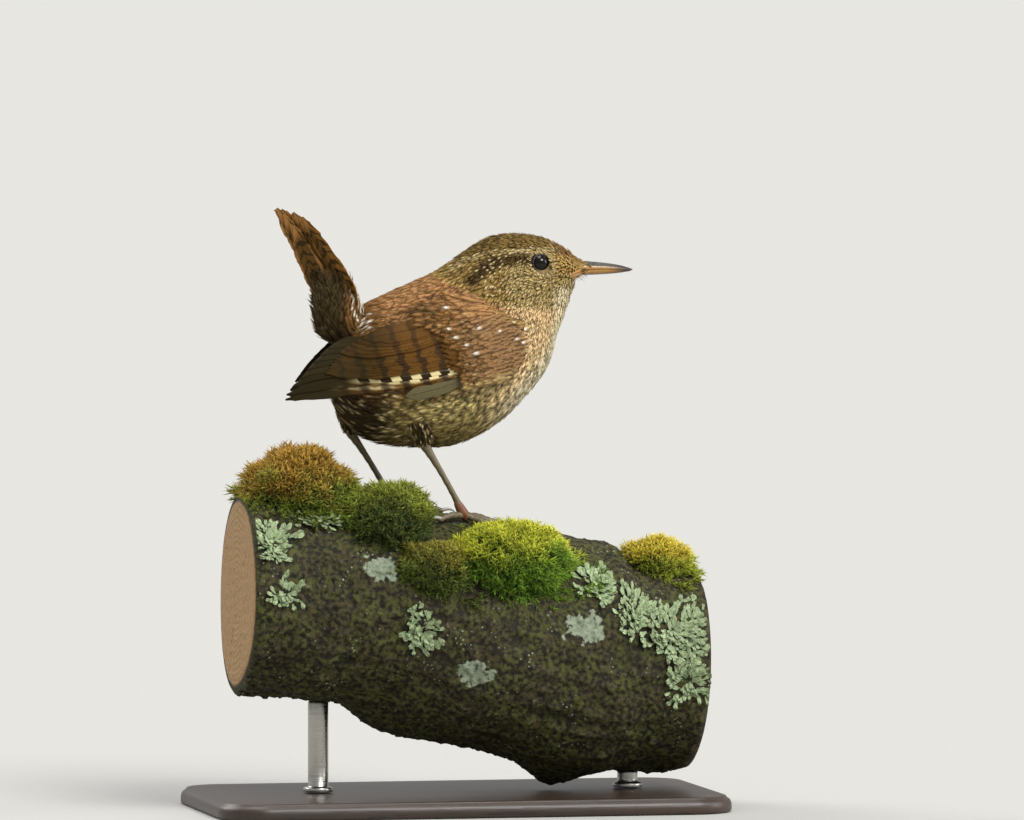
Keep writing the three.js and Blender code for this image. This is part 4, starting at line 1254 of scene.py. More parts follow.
class WREN_OT_skin(bpy.types.Operator):
    """Builds the skin under the coat, which carries the plumage's markings"""

    bl_idname = "wren.skin"
    bl_label = "Skin"

    def execute(self, context):
        c = plumage_colours()

        def colours(points):
            x, z = points[:, 0], points[:, 2]
            t, u, _ = body_coords(x, z)
            return plumage(c, x, z, t, u) * 0.7 * (1 + 0.25 * noise(points, 1.2, 3))[:, None]

        mesh = painted(remeshed(skin_form(), "wren_skin", 0.4), colours)
        nodes = ("head", "neck", "torso", "tail_root", "thigh_right", "thigh_left")
        put("wren_skin", mesh, [skin_under_down()], nodes)
        return {"FINISHED"}


def eye_rings(c, rng):
    """A broken pale ring of the smallest feathers round each eye."""
    form = Form()
    eye_t, eye_phi, stretch_t, stretch_phi = eye_coords()
    for side in (RIGHT, LEFT):
        for count, ring, share in ((38, 2.32, 0.8), (42, 2.75, 0.3)):
            angle = np.arange(count) / count * 2 * np.pi + rng.normal(0, 0.05, count)
            t = eye_t + ring * np.cos(angle) / stretch_t
            phi = side * (eye_phi + ring * np.sin(angle) / stretch_phi)
            turn = side * 0.8 * np.where(angle < np.pi, angle, angle - 2 * np.pi)
            size = (0.75, 0.42, -0.1, 0.2, 0.08)
            sizes = [np.full(count, value) * rng.uniform(0.85, 1.15, count) for value in size]
            pale = rng.random(count) < share

            def paint(own, template, point, t, phi, pale=pale):
                ground = plumage(c, point[..., 0], point[..., 2], t, np.cos(phi))
                return blend(ground, c["brow"], pale[own, None] * 0.8 * np.ones(point.shape[:2]))

            lay_tufts(form, body_point, (t, phi, turn), sizes, paint, rng, 8)
    return form


def bill_root_coat(c, rng):
    """Short feathers that point forward over the root of the bill."""
    form = Form()
    cone = np.array(BILL_CONE)
    zero = np.zeros(len(cone))
    surface = ring_surface(
        stacked(cone[:, 0], zero, cone[:, 1]),
        stacked(zero, zero, cone[:, 2]),
        stacked(zero, -cone[:, 3], zero),
    )
    t, phi = rows_over(surface, lambda t: 0.4, lambda t: 0.4, rng, 0.0, 0.7)
    reach = np.interp(np.cos(phi), [-1, -0.5, -0.1, 0.3, 0.75, 1], [0.34, 0.36, 0.42, 0.6, 0.5, 0.36])
    t, phi = t[t < reach], phi[t < reach]
    count = len(t)
    sizes = [(1.75, 0.2), (0.62, 0.1), (-0.25, 0.0), (0.12, 0.07), (0.06, 0.0)]
    sizes = [mean + vary * rng.normal(0, 1, count) for mean, vary in sizes]

    def paint(own, template, point, t, phi):
        x, z = point[..., 0], point[..., 2]
        ground = plumage(c, x, z, np.full(x.shape, 0.04), np.cos(phi))
        return mark_colours(c, ground, template, {"dash": 0.3, "streak": 0.12}, rng)

    lay_tufts(form, surface, (t, phi, rng.normal(0, 0.2, count)), sizes, paint, rng, 12)
    return form


def tail_root_coat(c, rng):
    """Longer feathers over the tail's root: rusty above, dark with pale fringes below."""
    form = Form()
    settings = bpy.context.scene.wren_plumage
    surface = tail_root_surface()
    gap = settings.body_spacing / MM * 0.95
    t, phi = rows_over(surface, lambda t: gap, lambda t: gap * 0.8, rng, 0.12, 0.64)
    under = np.cos(phi) < -0.1
    count = len(t)
    run = (np.where(under, 4.4, 4.2) + 1.4 * rise(0.4, 0.64, t)) * rng.uniform(0.6, 1.4, count)
    sizes = [run, rng.uniform(1.2, 1.8, count), np.full(count, -0.7)]
    lift = np.where(under, 0.7, 0.3) + 0.5 * rise(0.7, 1.0, t)
    sizes += [lift + rng.normal(0, 0.2, count), np.full(count, 0.09)]
    turn = rng.normal(0, 0.2, count)

    def paint(own, template, point, t, phi):
        u = np.cos(phi)
        s, w = template[:, 0], np.abs(template[:, 1])
        # below, the vent's colour with its painted shade, lightened a little
        ground = blend(np.broadcast_to(c["rump"], u.shape + (3,)), c["vent"] * 1.3, fall(-0.5, 0.05, u))
        # a tuft of white fluff stands out over the root on the right
        fluff = (t[:, 0] < 0.45) & (np.sin(phi[:, 0]) < -0.2) & (u[:, 0] > 0.1)
        made = mark_colours(c, ground, template, {"dash": 0.5, "white": np.where(fluff, 0.8, 0.0)}, rng)
        fringe = rise(0.55, 0.95, s) * rise(0.3, 0.8, w)
        below = fall(-0.6, -0.1, u) * (rng.random(len(own)) < 0.55)[:, None]
        return blend(made, c["pale"], 0.75 * below * fringe[None])

    lay_tufts(form, surface, (t, phi, turn), sizes, paint, rng, settings.barbs, 1.1)
    return form


def thigh_coat(c, rng):
    """Soft feathers down each thigh to the heel."""
    form = Form()

    def paint(own, template, point, t, phi):
        # the vent's and the belly's colours, their painted shade included
        speck = rise(-0.2, 0.5, noise(point, 1.3, 5))
        ground = blend(np.broadcast_to(c["vent"], point.shape), c["belly"], 0.9 * speck)
        return mark_colours(c, ground, template, {"drop": 0.12, "dash": 0.4, "streak": 0.3}, rng)

    for name in LEGS:
        surface = thigh_surface(name)
        t, phi = rows_over(surface, lambda t: 0.85, lambda t: 0.75, rng, 0.1, 0.97)
        count = len(t)
        run = (2.6 - 1.2 * t) * rng.uniform(0.85, 1.2, count)
        wide = (1.3 - 0.5 * t) * rng.uniform(0.85, 1.15, count)
        high = 0.15 + rng.normal(0, 0.07, count)
        sizes = (run, wide, np.full(count, -0.45), high, np.full(count, 0.11))
        lay_tufts(form, surface, (t, phi, rng.normal(0, 0.18, count)), sizes, paint, rng, 12)
    return form


def bristles(c, rng):
    """Thin dark bristles over the corners of the mouth."""
    form = Form()
    for side in (RIGHT, LEFT):
        for i in range(16):
            s = i / 15
            start = np.array([27.6 - 2.2 * s, side * (1.95 + 1.3 * s), 116.0 - 1.1 * s - 0.5 * (i % 3)])
            lean = np.array([1.0, side * (0.35 + 0.5 * rng.random()), -0.3 - 0.5 * rng.random()])
            run = rng.uniform(1.1, 2.1)
            bend = np.linspace(0, 1, 5)[:, None]
            path = start + unit(lean) * run * bend + np.array([0, 0, -0.35]) * bend**2
            points, faces = loft(tube(path, 0.055 * (1 - 0.8 * bend[:, 0]), 4)[0])
            spot = np.array([0.03 + 0.05 * side, 0.5]) % 1
            uv = spot + 0.003 * rng.random((len(points), 2))
            form.add(points, faces, tint=c["dark"] * 0.6, uv=uv)
    return form


# Pieces of the body's coat, by share from the bill to the tail's root
COAT_ZONES = {
    "coat_face": (0.0, 0.19),
    "coat_crown": (0.19, 0.3),
    "coat_nape": (0.3, 0.38),
    "coat_neck": (0.38, 0.48),
    "coat_breast": (0.48, 0.6),
    "coat_belly": (0.6, 0.75),
    "coat_rump": (0.75, 1.01),
}
COAT_PARTS = {
    "coat_eyelids": (eye_rings, "plumage_head"),
    "coat_tail_root": (tail_root_coat, "plumage_body"),
    "coat_thighs": (thigh_coat, "plumage_body"),
    "coat_bill_root": (bill_root_coat, "plumage_head"),
    "coat_bristles": (bristles, "plumage_head"),
}


class WREN_OT_coat(bpy.types.Operator):
    """Lays the small feathers over head, body, tail root and thighs"""

    bl_idname = "wren.coat"
    bl_label = "Coat"

    def execute(self, context):
        settings = context.scene.wren_plumage
        c = plumage_colours()
        rng = np.random.default_rng(settings.seed)
        roots, sizes = body_coat(settings, rng)
        sizes = [np.broadcast_to(size, roots[0].shape) for size in sizes]
        for name, (low, high) in COAT_ZONES.items():
            own = (roots[0] >= low) & (roots[0] < high)
            form = Form()
            here, size = [value[own] for value in roots], [value[own] for value in sizes]
            lay_tufts(form, body_point, here, size, paint_coat(c, rng), rng, settings.barbs)
            put(name, form, [feather_look()])
        for name, (make, slot) in COAT_PARTS.items():
            put(name, make(c, rng), [feather_look()])
        return {"FINISHED"}


# Wings and tail

FEATHER_ROWS = 26
FEATHER_COLUMNS = np.array([-1, -0.88, -0.6, -0.3, 0, 0.3, 0.6, 0.88, 1])
# Where the white tips of the coverts stand on the folded wing: behind the wrist, and above it
WHITE_TIPS = [
    (15.1, 6.8), (13.5, 5.2), (12.2, 3.6), (9.9, 1.6), (13.4, 11.0), (8.2, 7.1), (9.0, 8.0),
    (3.6, 4.4), (4.6, 5.2), (-0.4, 1.7), (0.5, 2.5), (-1.3, 4.6),
]
# Where the neck covers the wing's shoulder, from behind the wrist and above it
NECK_EDGE = ([-4, -2.2, 2.2, 8.3], [4.5, 5.7, 9.1, 17.3])
# Rows of pale blocks on the folded primaries: places behind the wrist, and above it
CREAM_ROW = ([14, 20, 26, 34.5, 38], [-1.2, -0.85, -0.35, 1.3, 2.0])
CREAM_EDGE = ([26, 33.6, 40, 44], [-1.9, -0.8, 0.4, 0.9])


def feather_outline(t, point):
    """How wide a feather is at a share of its length, against its widest."""
    start = 1 - point
    narrow = np.sqrt(np.maximum(0.012, 1 - (np.maximum(0, t - start) / point) ** 2))
    return (0.45 + 0.55 * np.minimum(1, t / 0.4)) * narrow


class Atlas:
    """Hands out rectangles of a UV map, row by row."""

    def __init__(self, columns, rows):
        self.columns, self.rows, self.used = columns, rows, 0

    def place(self, along, across):
        """UV of a feather's points, from its shares along and across."""
        column, row = self.used % self.columns, self.used // self.columns % self.rows
        self.used += 1
        u = (column + 0.06 + 0.88 * (across + 1) / 2) / self.columns
        return stacked(u, (row + 0.04 + 0.92 * along) / self.rows)


def vane_form(form, place, half, run, point, rng, atlas, material, marks, white=0.0, ragged=0.12):
    """Adds one flight feather. place gives its points from share along, own half width and height
    over the bed. marks gives the bars' phase, the darkness of the tip and the pale blocks."""
    share, across = crossed(1 - (1 - np.linspace(0, 1, FEATHER_ROWS)) ** 1.35, FEATHER_COLUMNS)
    outline = half * feather_outline(share, point)
    notch = rng.normal(0, ragged, share.shape) * (np.abs(across) > 0.95) * rise(0.1, 0.3, share)
    # barbs sweep towards the tip, so the edges lie a little behind the shaft
    sweep = (0.5 + 0.3 * rng.random()) / run * np.abs(across) * rise(0.0, 0.3, share)
    along = share - sweep * (share < 0.999)
    width = outline * across + notch * half * 0.4
    camber = 0.06 * half * (1 - across**2)
    top = place(along, width, camber + 0.09 * np.exp(-((across / 0.16) ** 2)) * (1.1 - share))
    thickness = bpy.context.scene.wren_flight.vane / MM
    bottom = place(along, width, camber - thickness * (1 - 0.75 * np.abs(across)))
    whites = white * rise(0.86, 0.95, share) * fall(0.35, 0.75, np.abs(across + 0.2))
    values = {"across": across, "along": share * run, "white": whites, **marks(share, across)}
    values = {key: np.tile(value.ravel(), 2) for key, value in values.items()}
    uv = np.tile(atlas.place(share, across).reshape(-1, 2), (2, 1))
    form.add(*plate(top, bottom), material, seed=rng.random(), uv=uv, **values)


def wing_feather(form, side, rng, atlas, material, root, tip, half, lift, point=0.28, bow=0.0, tilt=0.22,
                 dark=None, pull=None):
    """Adds one feather of the folded wing, from root to tip in the wing's own plane."""
    run = math.hypot(tip[0] - root[0], tip[1] - root[1])
    root, tip = np.array(root), np.array(tip)
    across = np.array([root[1] - tip[1], tip[0] - root[0]]) / run
    pull = (root + tip) / 2 + 2 * bow * across if pull is None else np.array(pull)
    steps = np.linspace(0, 1, 41)[:, None]
    line = root * (1 - steps) ** 2 + 2 * pull * steps * (1 - steps) + tip * steps**2
    walked = np.concatenate([[0], np.cumsum(np.linalg.norm(np.diff(line, axis=0), axis=1))])
    flank = unit(np.gradient(line, axis=0))

    def spot(share, width):
        at = share * walked[-1]
        a, b, slope_a, slope_b = (np.interp(at, walked, row) for row in (*line.T, *flank.T))
        return a - slope_b * width, b + slope_a * width

    def place(share, width, height):
        a, b = spot(share, width)
        rest = lift[0] + (lift[1] - lift[0]) * share - tilt * width / half
        return wing_point(side, a, b, rest + height + 0.3)

    pitch = bpy.context.scene.wren_flight.bar_pitch / MM
    shift = rng.normal(0, 0.035)

    def marks(share, c):
        a, b = spot(share, c * half)
        upper = fall(0.75, 1.15, np.abs(b - np.interp(a, *CREAM_ROW)) / 0.98)
        lower = fall(0.6, 1.2, np.abs(b - np.interp(a, *CREAM_EDGE)) / 0.24)
        return {
            "bar": (a - 14.6) / pitch + 0.25 + shift - 0.02 * b,
            "tip": np.zeros(share.shape) if dark is None else dark[2] * rise(dark[0], dark[1], share),
            "cream": upper * rise(13, 14, a) * fall(36, 38, a) + lower * rise(27, 29, a) * fall(42, 44, a),
        }

    vane_form(form, place, half, run, point, rng, atlas, material, marks)


def spread(count):
    """Shares from 0 to 1."""
    return [i / (count - 1) for i in range(count)]


def primary(s, side):
    """Root, tip and heights of a primary, from the outermost up. The left wing is held shorter.
    The upper ones bend down along the wing's rear edge, so that their tips lie one on another."""
    reach = WING_LENGTH + (1.2 if side == RIGHT else -1.6)
    kind = {"half": 1.9, "lift": (0.35, 0.3 + 0.5 * s), "point": 0.6, "dark": (0.52 - 0.05 * s, 0.82, 1.0)}
    kind["root"] = (6 + 3 * s, -1.4 + 2.2 * s)
    if s < 0.3:
        return {**kind, "tip": (reach + 0.3 - 6.5 * (1 - s / 0.3) ** 2, 0.6 * s), "bow": 0.3}
    over = (s - 0.3) / 0.7
    tip = np.array([reach - 0.8 - 9.4 * over - 1.4 * over**2, 0.25 + 10 * over - 2 * over**2])
    back = unit(np.array([10 + 3.2 * over, -10 + 4 * over]))
    return {**kind, "tip": tip, "pull": tip - back * (8 - 2 * over) * min(1, 0.4 + 3 * over)}


def flight_rows(form, side, rng, atlas):
    """Adds every larger feather of one wing: primaries, secondaries, tertials, coverts, plume."""

    def add(material, **kind):
        wing_feather(form, side, rng, atlas, material, **kind)

    short = 0.0 if side == RIGHT else 1.6
    for s in spread(10):
        add(0, **primary(s, side))
    for s in spread(7):
        ends = {"root": (9 + 2 * s, 1.4 + 4.3 * s), "tip": (41.4 - 3.2 * s - short, 3.8 + 2.6 * s)}
        add(1, **ends, half=2.1, lift=(0.5, 0.85), point=0.38, bow=-0.2, dark=(0.5, 0.85, 0.75))
    for s in spread(5):
        ends = {"root": (11.5 + 2 * s, 7.0 + 2.4 * s), "tip": (37.4 - 5.5 * s - short, 6.9 + 2.0 * s)}
        add(2, **ends, half=2.0, lift=(0.7, 1.15 + 0.2 * s), point=0.4, bow=-0.2, dark=(0.55, 0.9, 0.65))
    for s in spread(3):
        ends = {"root": (2.6 + 2 * s, -2.2 + 0.9 * s), "tip": (14.2 + 1.6 * s, -2.5 + 1.6 * s)}
        add(3, **ends, half=1.1, lift=(0.6, 1.1))
    for s in spread(9):
        ends = {"root": (5 + 3 * s, -0.5 + 9.2 * s), "tip": (16.4 + 2 * s, -0.2 + 9.6 * s)}
        add(3, **ends, half=1.5, lift=(0.75, 1.0), point=0.5, tilt=0.12)
    add(4, root=(13.2, -3.1), tip=(26.8, -3.8), half=1.45, lift=(0.2, 0.75), point=0.2, bow=-0.2, tilt=0.1)


def vane_materials():
    """The materials of the wing's rows, from primaries to plume: ground, blocks, bars and edge."""
    c = palette("flight", "rust shade bar cream plume")
    bars = {"wave": 0.6, "bow": -0.2, "span": (0.35, 1.05), "strength": 0.85}
    bars["white"] = plumage_colours()["white"]
    upper = {**bars, "span": (0.45, 1.25), "strength": 0.65}
    kinds = {
        "barred_primary": ("rust", c["cream"], {**bars, "wave": 0.1, "bow": 0.0}, 0.0),
        "barred_secondary": ("rust", None, bars, 0.15),
        "barred_tertial": ("rust", None, upper, 0.15),
        "rusty_covert": ("rust", None, {**upper, "strength": 0.25}, 0.0),
        "flank_plume": ("plume", None, {**bars, "strength": 0.0}, 0.0),
    }
    return [flight_vane(name, c[kind[0]], kind[1], c, *kind[2:]) for name, kind in kinds.items()]


def shoulder_coat(side, rng):
    """The small feathers of the wing's bend and the scapulars along its upper edge."""
    form = Form()
    c = plumage_colours()
    covert = palette("flight", "covert")["covert"]

    def surface(t, phi):
        # t runs 40 mm back from before the wrist, phi / pi runs 24 mm up from below it
        return wing_point(side, -6 + 40 * t, -7 + 24 * (phi / np.pi * 0.5 + 0.5), np.zeros_like(t))

    a, b = crossed(np.arange(-4.4, 18.5, 0.8), np.arange(-4.4, 13.6, 0.74))
    a = a + 0.4 * (np.arange(a.shape[1]) % 2)
    a, b = (value.ravel() + rng.normal(0, 0.16, a.size) for value in (a, b))
    front = np.interp(b, [-4, -3.3, 0, 7, 11], [2.5, 0.7, -2.6, -3.6, -2.5])
    back = np.maximum(11.2, 10 + 0.709 * (b - 1.4)) + 0.3
    scapular = (b > 8.8 + 0.04 * a) & (a > -1) & (a < 17)
    keep = ((a > front) & (a < back) & (b < 11.5)) | scapular
    keep = keep & (b < np.interp(a, *NECK_EDGE) + 0.6)
    a, b = a[keep], b[keep]
    # the feathers with white tips come last, and lie on top
    tips = np.array(WHITE_TIPS)
    white = np.concatenate([np.zeros(len(a)), np.ones(len(tips))])
    a, b = np.concatenate([a, tips[:, 0] - 2.9]), np.concatenate([b, tips[:, 1]])
    scapular = (b > 8.8 + 0.04 * a) & (a > -1) & (white == 0)
    t, phi = (a + 6) / 40, ((b + 7) / 24 - 0.5) * 2 * np.pi
    count = len(a)
    edge = np.maximum(rise(10.5, 13.5, b), rise(-3.0, 0.4, b - np.interp(a, *NECK_EDGE)))
    bed = 0.25 + 1.3 * rise(-4, 7, a) * (1 - edge)
    sizes = [
        np.where(scapular, 4.8, 3.4 + 0.6 * rise(0, 8, a)) * rng.uniform(0.8, 1.2, count),
        np.where(scapular, 1.9, 1.8) * rng.uniform(0.9, 1.1, count) * (1 - 0.1 * white),
        bed - 0.1 - 0.5 * edge + 0.2 * white,
        bed + 0.2 - 0.1 * edge + 0.2 * white + rng.normal(0, 0.05, count),
        np.full(count, 0.05),
    ]
    turn = side * np.where(scapular, -0.12, 0.0) + rng.normal(0, 0.12, count)

    def paint(own, template, point, t, phi):
        high = (phi / np.pi * 0.5 + 0.5) * 24 - 7
        far = -6 + 40 * t
        ground = blend(np.broadcast_to(covert, point.shape), c["mantle"], rise(6.5, 10.0, high))
        ground = blend(ground, c["rump"], 0.8 * rise(10, 15, far))
        ground = blend(ground, c["breast"], 0.85 * fall(-3.4, -0.8, far + 0.12 * (high - 4)))
        ground = blend(ground, c["flank"], 0.35 * fall(-4.6, -2.6, high))
        neck = rise(-2.6, 0.6, high - np.interp(far, *NECK_EDGE))
        ground = blend(ground, c["neck"], 0.85 * neck)
        dash = 0.06 + 0.4 * rise(11, 14, far[:, 0]) + 0.3 * neck[:, 0]
        marks = {"drop": 0.25 * neck[:, 0], "dash": dash, "streak": 0.05, "white": white[own] * 0.95}
        return mark_colours(c, ground, template, marks, rng)

    lay_tufts(form, surface, (t, phi, turn), sizes, paint, rng, bpy.context.scene.wren_plumage.barbs)
    return form


class WREN_OT_wings(bpy.types.Operator):
    """Builds the folded wings, row by row from the undermost primaries to the shoulder"""

    bl_idname = "wren.wings"
    bl_label = "Wings"

    def execute(self, context):
        looks = vane_materials()
        for number, (name, side) in enumerate(SIDES.items()):
            rng = np.random.default_rng(context.scene.wren_plumage.seed + 20 + number)
            form = Form()
            flight_rows(form, side, rng, Atlas(8, 9))
            put(f"wing_feathers_{name}", form, looks, [f"wing_{name}"])
            put(f"coat_shoulder_{name}", shoulder_coat(side, rng), [feather_look()])
        return {"FINISHED"}


def tail_feather(form, side, k, rng, atlas, pitch):
    """Adds one tail feather, k counted from the middle pair outwards."""
    s = k / (TAIL_PAIRS - 1)
    root, tip, lengths = TAIL_FAN[side]
    level = TAIL_LAYER * (2.5 - k - (0 if side == RIGHT else 0.5))
    droop = math.radians(2 + 2.6 * k) * (1 if side == RIGHT else -0.5)
    reach = lengths[0] + (lengths[1] - lengths[0]) * s**1.2 - abs(rng.normal(0, 0.8))
    half = 2.3
    start, end = root[0] + (root[1] - root[0]) * s, tip[0] + (tip[1] - tip[0]) * s

    def middle(share):
        # the feathers' roots stand close together under the down
        parted = rise(-0.15, 0.35, share)
        return 0.9 + (start - 0.9) * parted + (end - start) * np.maximum(share, 0) ** 1.5

    def place(share, width, height):
        out = level - width * math.sin(droop) - 0.16 * np.abs(width) / half - 0.5 * share**2
        along = TAIL_START + (reach - TAIL_START) * share - 0.5 * np.abs(width) / half
        return tail_point(along, middle(share) + width, out + height - 0.1)

    def marks(share, c):
        # painted shade: the folded tail's middle is darker than its edges
        beside = middle(share) + c * half
        return {
            "bar": (1 - share) * (reach - TAIL_START) / pitch + rng.random() * 0.1,
            "tip": 0.3 * fall(0.3, 0.5, share) + 0.62 * fall(2.6, 4.6, np.abs(beside - 0.1)),
            "cream": 0.7 * fall(-4.2, -3.0, beside) * fall(0.8, 0.95, share),
        }

    vane_form(form, place, half, reach - TAIL_START, 0.5, rng, atlas, 0, marks, 0.7, 0.25)


class WREN_OT_tail(bpy.types.Operator):
    """Builds the cocked, twisted tail of twelve feathers"""

    bl_idname = "wren.tail"
    bl_label = "Tail"

    def execute(self, context):
        rng = np.random.default_rng(context.scene.wren_plumage.seed + 40)
        form, atlas = Form(), Atlas(4, 3)
        for k in reversed(range(TAIL_PAIRS)):
            for side in (RIGHT, LEFT):
                tail_feather(form, side, k, rng, atlas, context.scene.wren_flight.tail_pitch / MM)
        c = palette("flight", "tail tail_pale bar shade cream")
        bars = {"wave": 1.4, "bow": -0.3, "span": (0.25, 1.05), "strength": 0.85, "white": c["tail_pale"]}
        vane = flight_vane("barred_tail_vane", c["tail"], c["cream"], c, bars, 0.0, 0.45)
        put("tail_feathers", form, [vane], ["tail"])
        return {"FINISHED"}


# Bill, eyes and legs


def bill_lines(t):
    """Place, mouth line, culmen, gonys and half width of the bill at a share of its length."""
    x = BILL_ROOT + (BILL_TIP - BILL_ROOT) * t
    mouth = 115.75 - 0.35 * t + 0.15 * np.sin(np.pi * t)
    culmen = 117.45 - t - 0.85 * t**4
    gonys = 114.4 + 0.3 * t + 0.6 * t**3
    return x, mouth, culmen, gonys, BILL_HALF * (1 - t) ** 0.8 + 0.24


def bill_half(upper):
    """One half of the bill. Its back end goes in under the feathers."""
    form = Form()
    t = np.concatenate([[-0.1], np.linspace(-0.04, 1.0 if upper else 0.965, 46)])
    turn = circle(40)
    t, turn = crossed(t, turn)
    x, mouth, culmen, gonys, half = bill_lines(np.maximum(t, 0))
    x = BILL_ROOT + (BILL_TIP - BILL_ROOT) * t
    edge = mouth + (-0.02 if upper else 0.05)
    half = half * (1.0 if upper else 0.93)
    far = np.maximum(culmen, edge + 0.3) if upper else np.minimum(gonys, edge - 0.25)
    up = np.maximum(0, np.cos(turn) + 0.25) / 1.25
    y = half * np.sin(turn) * (1 - 0.16 * up**2 * (1 if upper else 0.6))
    z = edge + (far - edge) * up
    # the culmen's ridge, and the groove that runs forward from the nostril
    z = z + (0.07 if upper else 0) * np.exp(-((y / 0.28) ** 2)) * (up > 0.5)
    away = np.hypot((x - NOSTRIL_AT[0]) / 1.0, (z - NOSTRIL_AT[2] + 0.12) / 0.26)
    groove = np.hypot((x - NOSTRIL_AT[0] - 1.2) / 2.6, (z - NOSTRIL_AT[2] + 0.1) / 0.3)
    if upper:
        pit = 0.5 * fall(0.4, 1.0, away) + 0.12 * fall(0.3, 1.0, groove)
        y = y - np.sign(y) * np.minimum(pit, np.abs(y) * 0.6)
        # the cutting edge overhangs the lower half a little
        y = y * (1 + 0.05 * fall(0.0, 0.15, up))
    spots = stacked(x, y, z)
    spots = spots + 0.012 * noise(spots, 0.5, 9)[..., None]
    # 0 at the lower edge, 0.35 at the mouth line and 1 at the culmen
    high = 0.35 + 0.65 * up if upper else 0.35 - 0.33 * up
    values = {"high": high, "far": np.maximum(t, 0)}
    for key, grid in values.items():
        values[key] = np.append(grid.ravel(), [grid[0].mean(), grid[-1].mean()])
    form.add(*loft(spots), **values)
    if not upper:
        mouth_corners(form)
    return form


def mouth_corners(form):
    """The soft corners of the mouth, which run back under the feathers before the eye."""
    s = np.linspace(0, 1, 14)
    x, z = 29.0 - 4.9 * s, 115.65 - 1.15 * s
    y = np.maximum(1.5, body_coords(x, z)[2] - 0.12)
    for side in (RIGHT, LEFT):
        path = stacked(x, side * y, z)
        rings, _ = tube(path, 0.4 - 0.18 * s, 16)
        centre = rings.mean(1, keepdims=True)
        rings = centre + (rings - centre) * [1, 1, 2.2]
        # the middle of each corner takes the mouth line's painted shade
        high = np.broadcast_to(0.35 + 0.16 * np.cos(circle(16)), rings.shape[:2])
        form.add(*loft(rings), high=np.append(high.ravel(), [0.35, 0.35]), far=0.0)


class WREN_OT_bill(bpy.types.Operator):
    """Builds the two halves of the bill, with nostrils and cutting edges"""

    bl_idname = "wren.bill"
    bl_label = "Bill"

    def execute(self, context):
        horn = horn_of_bill()
        put("wren_bill_upper", bill_half(True), [horn], ["bill_upper"])
        put("wren_bill_lower", bill_half(False), [horn], ["bill_lower"])
        return {"FINISHED"}


def eyeball(side):
    """An eyeball with a slightly domed cornea looking out sideways."""
    form = Form()
    lat, lon = crossed(np.linspace(0.02, np.pi - 0.02, 40), circle(56))
    dome = 1 + 0.03 * fall(0.5, 0.75, lat)
    x = np.sin(lat) * np.cos(lon) * dome
    z = np.sin(lat) * np.sin(lon) * dome
    y = side * np.cos(lat) * dome
    ball = stacked(x, y, z) * (EYE_RADIUS - 0.04)
    form.add(*loft(ball + np.array([EYE_AT[0], side * EYE_AT[1], EYE_AT[2]])))
    return form


def lid_rim(side):
    """The two lids' rims, a thin wrinkled ring with pointed corners."""
    form = Form()
    angle, turn = crossed(circle(72), circle(12))
    corner = 1 + 0.05 * np.cos(2 * angle) + 0.012 * np.sin(23 * angle)
    thick = LID_RIM * 0.8 * (1 + 0.16 * np.sin(17 * angle))
    out = LID_RADIUS * corner + thick * np.cos(turn)
    x, z = out * np.cos(angle), out * np.sin(angle) * 0.97
    y = 1.3 * thick * np.sin(turn)
    # the ring leans with the head's side, as on the solid
    lean, tip = math.radians(14), math.radians(8)
    x, y = x * math.cos(lean) + y * math.sin(lean), -x * math.sin(lean) + y * math.cos(lean)
    y, z = y * math.cos(tip) - z * math.sin(tip), y * math.sin(tip) + z * math.cos(tip)
    spots = stacked(x + EYE_AT[0] + 0.3, side * (y + EYE_AT[1] + 1.22), z + EYE_AT[2] + 0.1)
    rows, sides = spots.shape[:2]
    faces = grid_faces(rows + 1, sides, True) % (rows * sides)
    form.add(spots, [faces], ridge=(0.5 + 0.5 * np.sin(17 * angle)).ravel())
    return form


class WREN_OT_eyes(bpy.types.Operator):
    """Builds the eyes, with a domed cornea, and the rims of their lids"""

    bl_idname = "wren.eyes"
    bl_label = "Eyes"

    def execute(self, context):
        c = palette("horn", "lid")
        lid = scuted_skin("eyelid_skin", c["lid"], 0.5 * c["lid"], 0.6)
        eye = eye_surface()
        for name, side in SIDES.items():
            put(f"glass_eye_{name}", eyeball(side), [eye], [f"eye_{name}"])
            put(f"eyelid_{name}", lid_rim(side), [lid])
        return {"FINISHED"}


def foot_centre(leg):
    """Middle of the joint that the toes part from."""
    side, _, _, (x, y) = leg
    return np.array([x, side * y, branch_top(x, y) + PAD + GAP])


def toe_path(leg, toe, steps=5):
    """The points that a toe runs through, over the branch."""
    bearing, run, _ = TOES[toe]
    centre = foot_centre(leg)
    s = np.linspace(0, 1, steps)
    x = centre[0] + s * run * math.cos(math.radians(bearing))
    y = centre[1] + leg[0] * s * run * math.sin(math.radians(bearing))
    radius = 0.86 + (0.6 - 0.86) * s
    lift = radius + 0.35 * np.sin(np.pi * s) + 0.1
    lift[0] = PAD
    return stacked(x, y, branch_top(x, y) + GAP + lift)


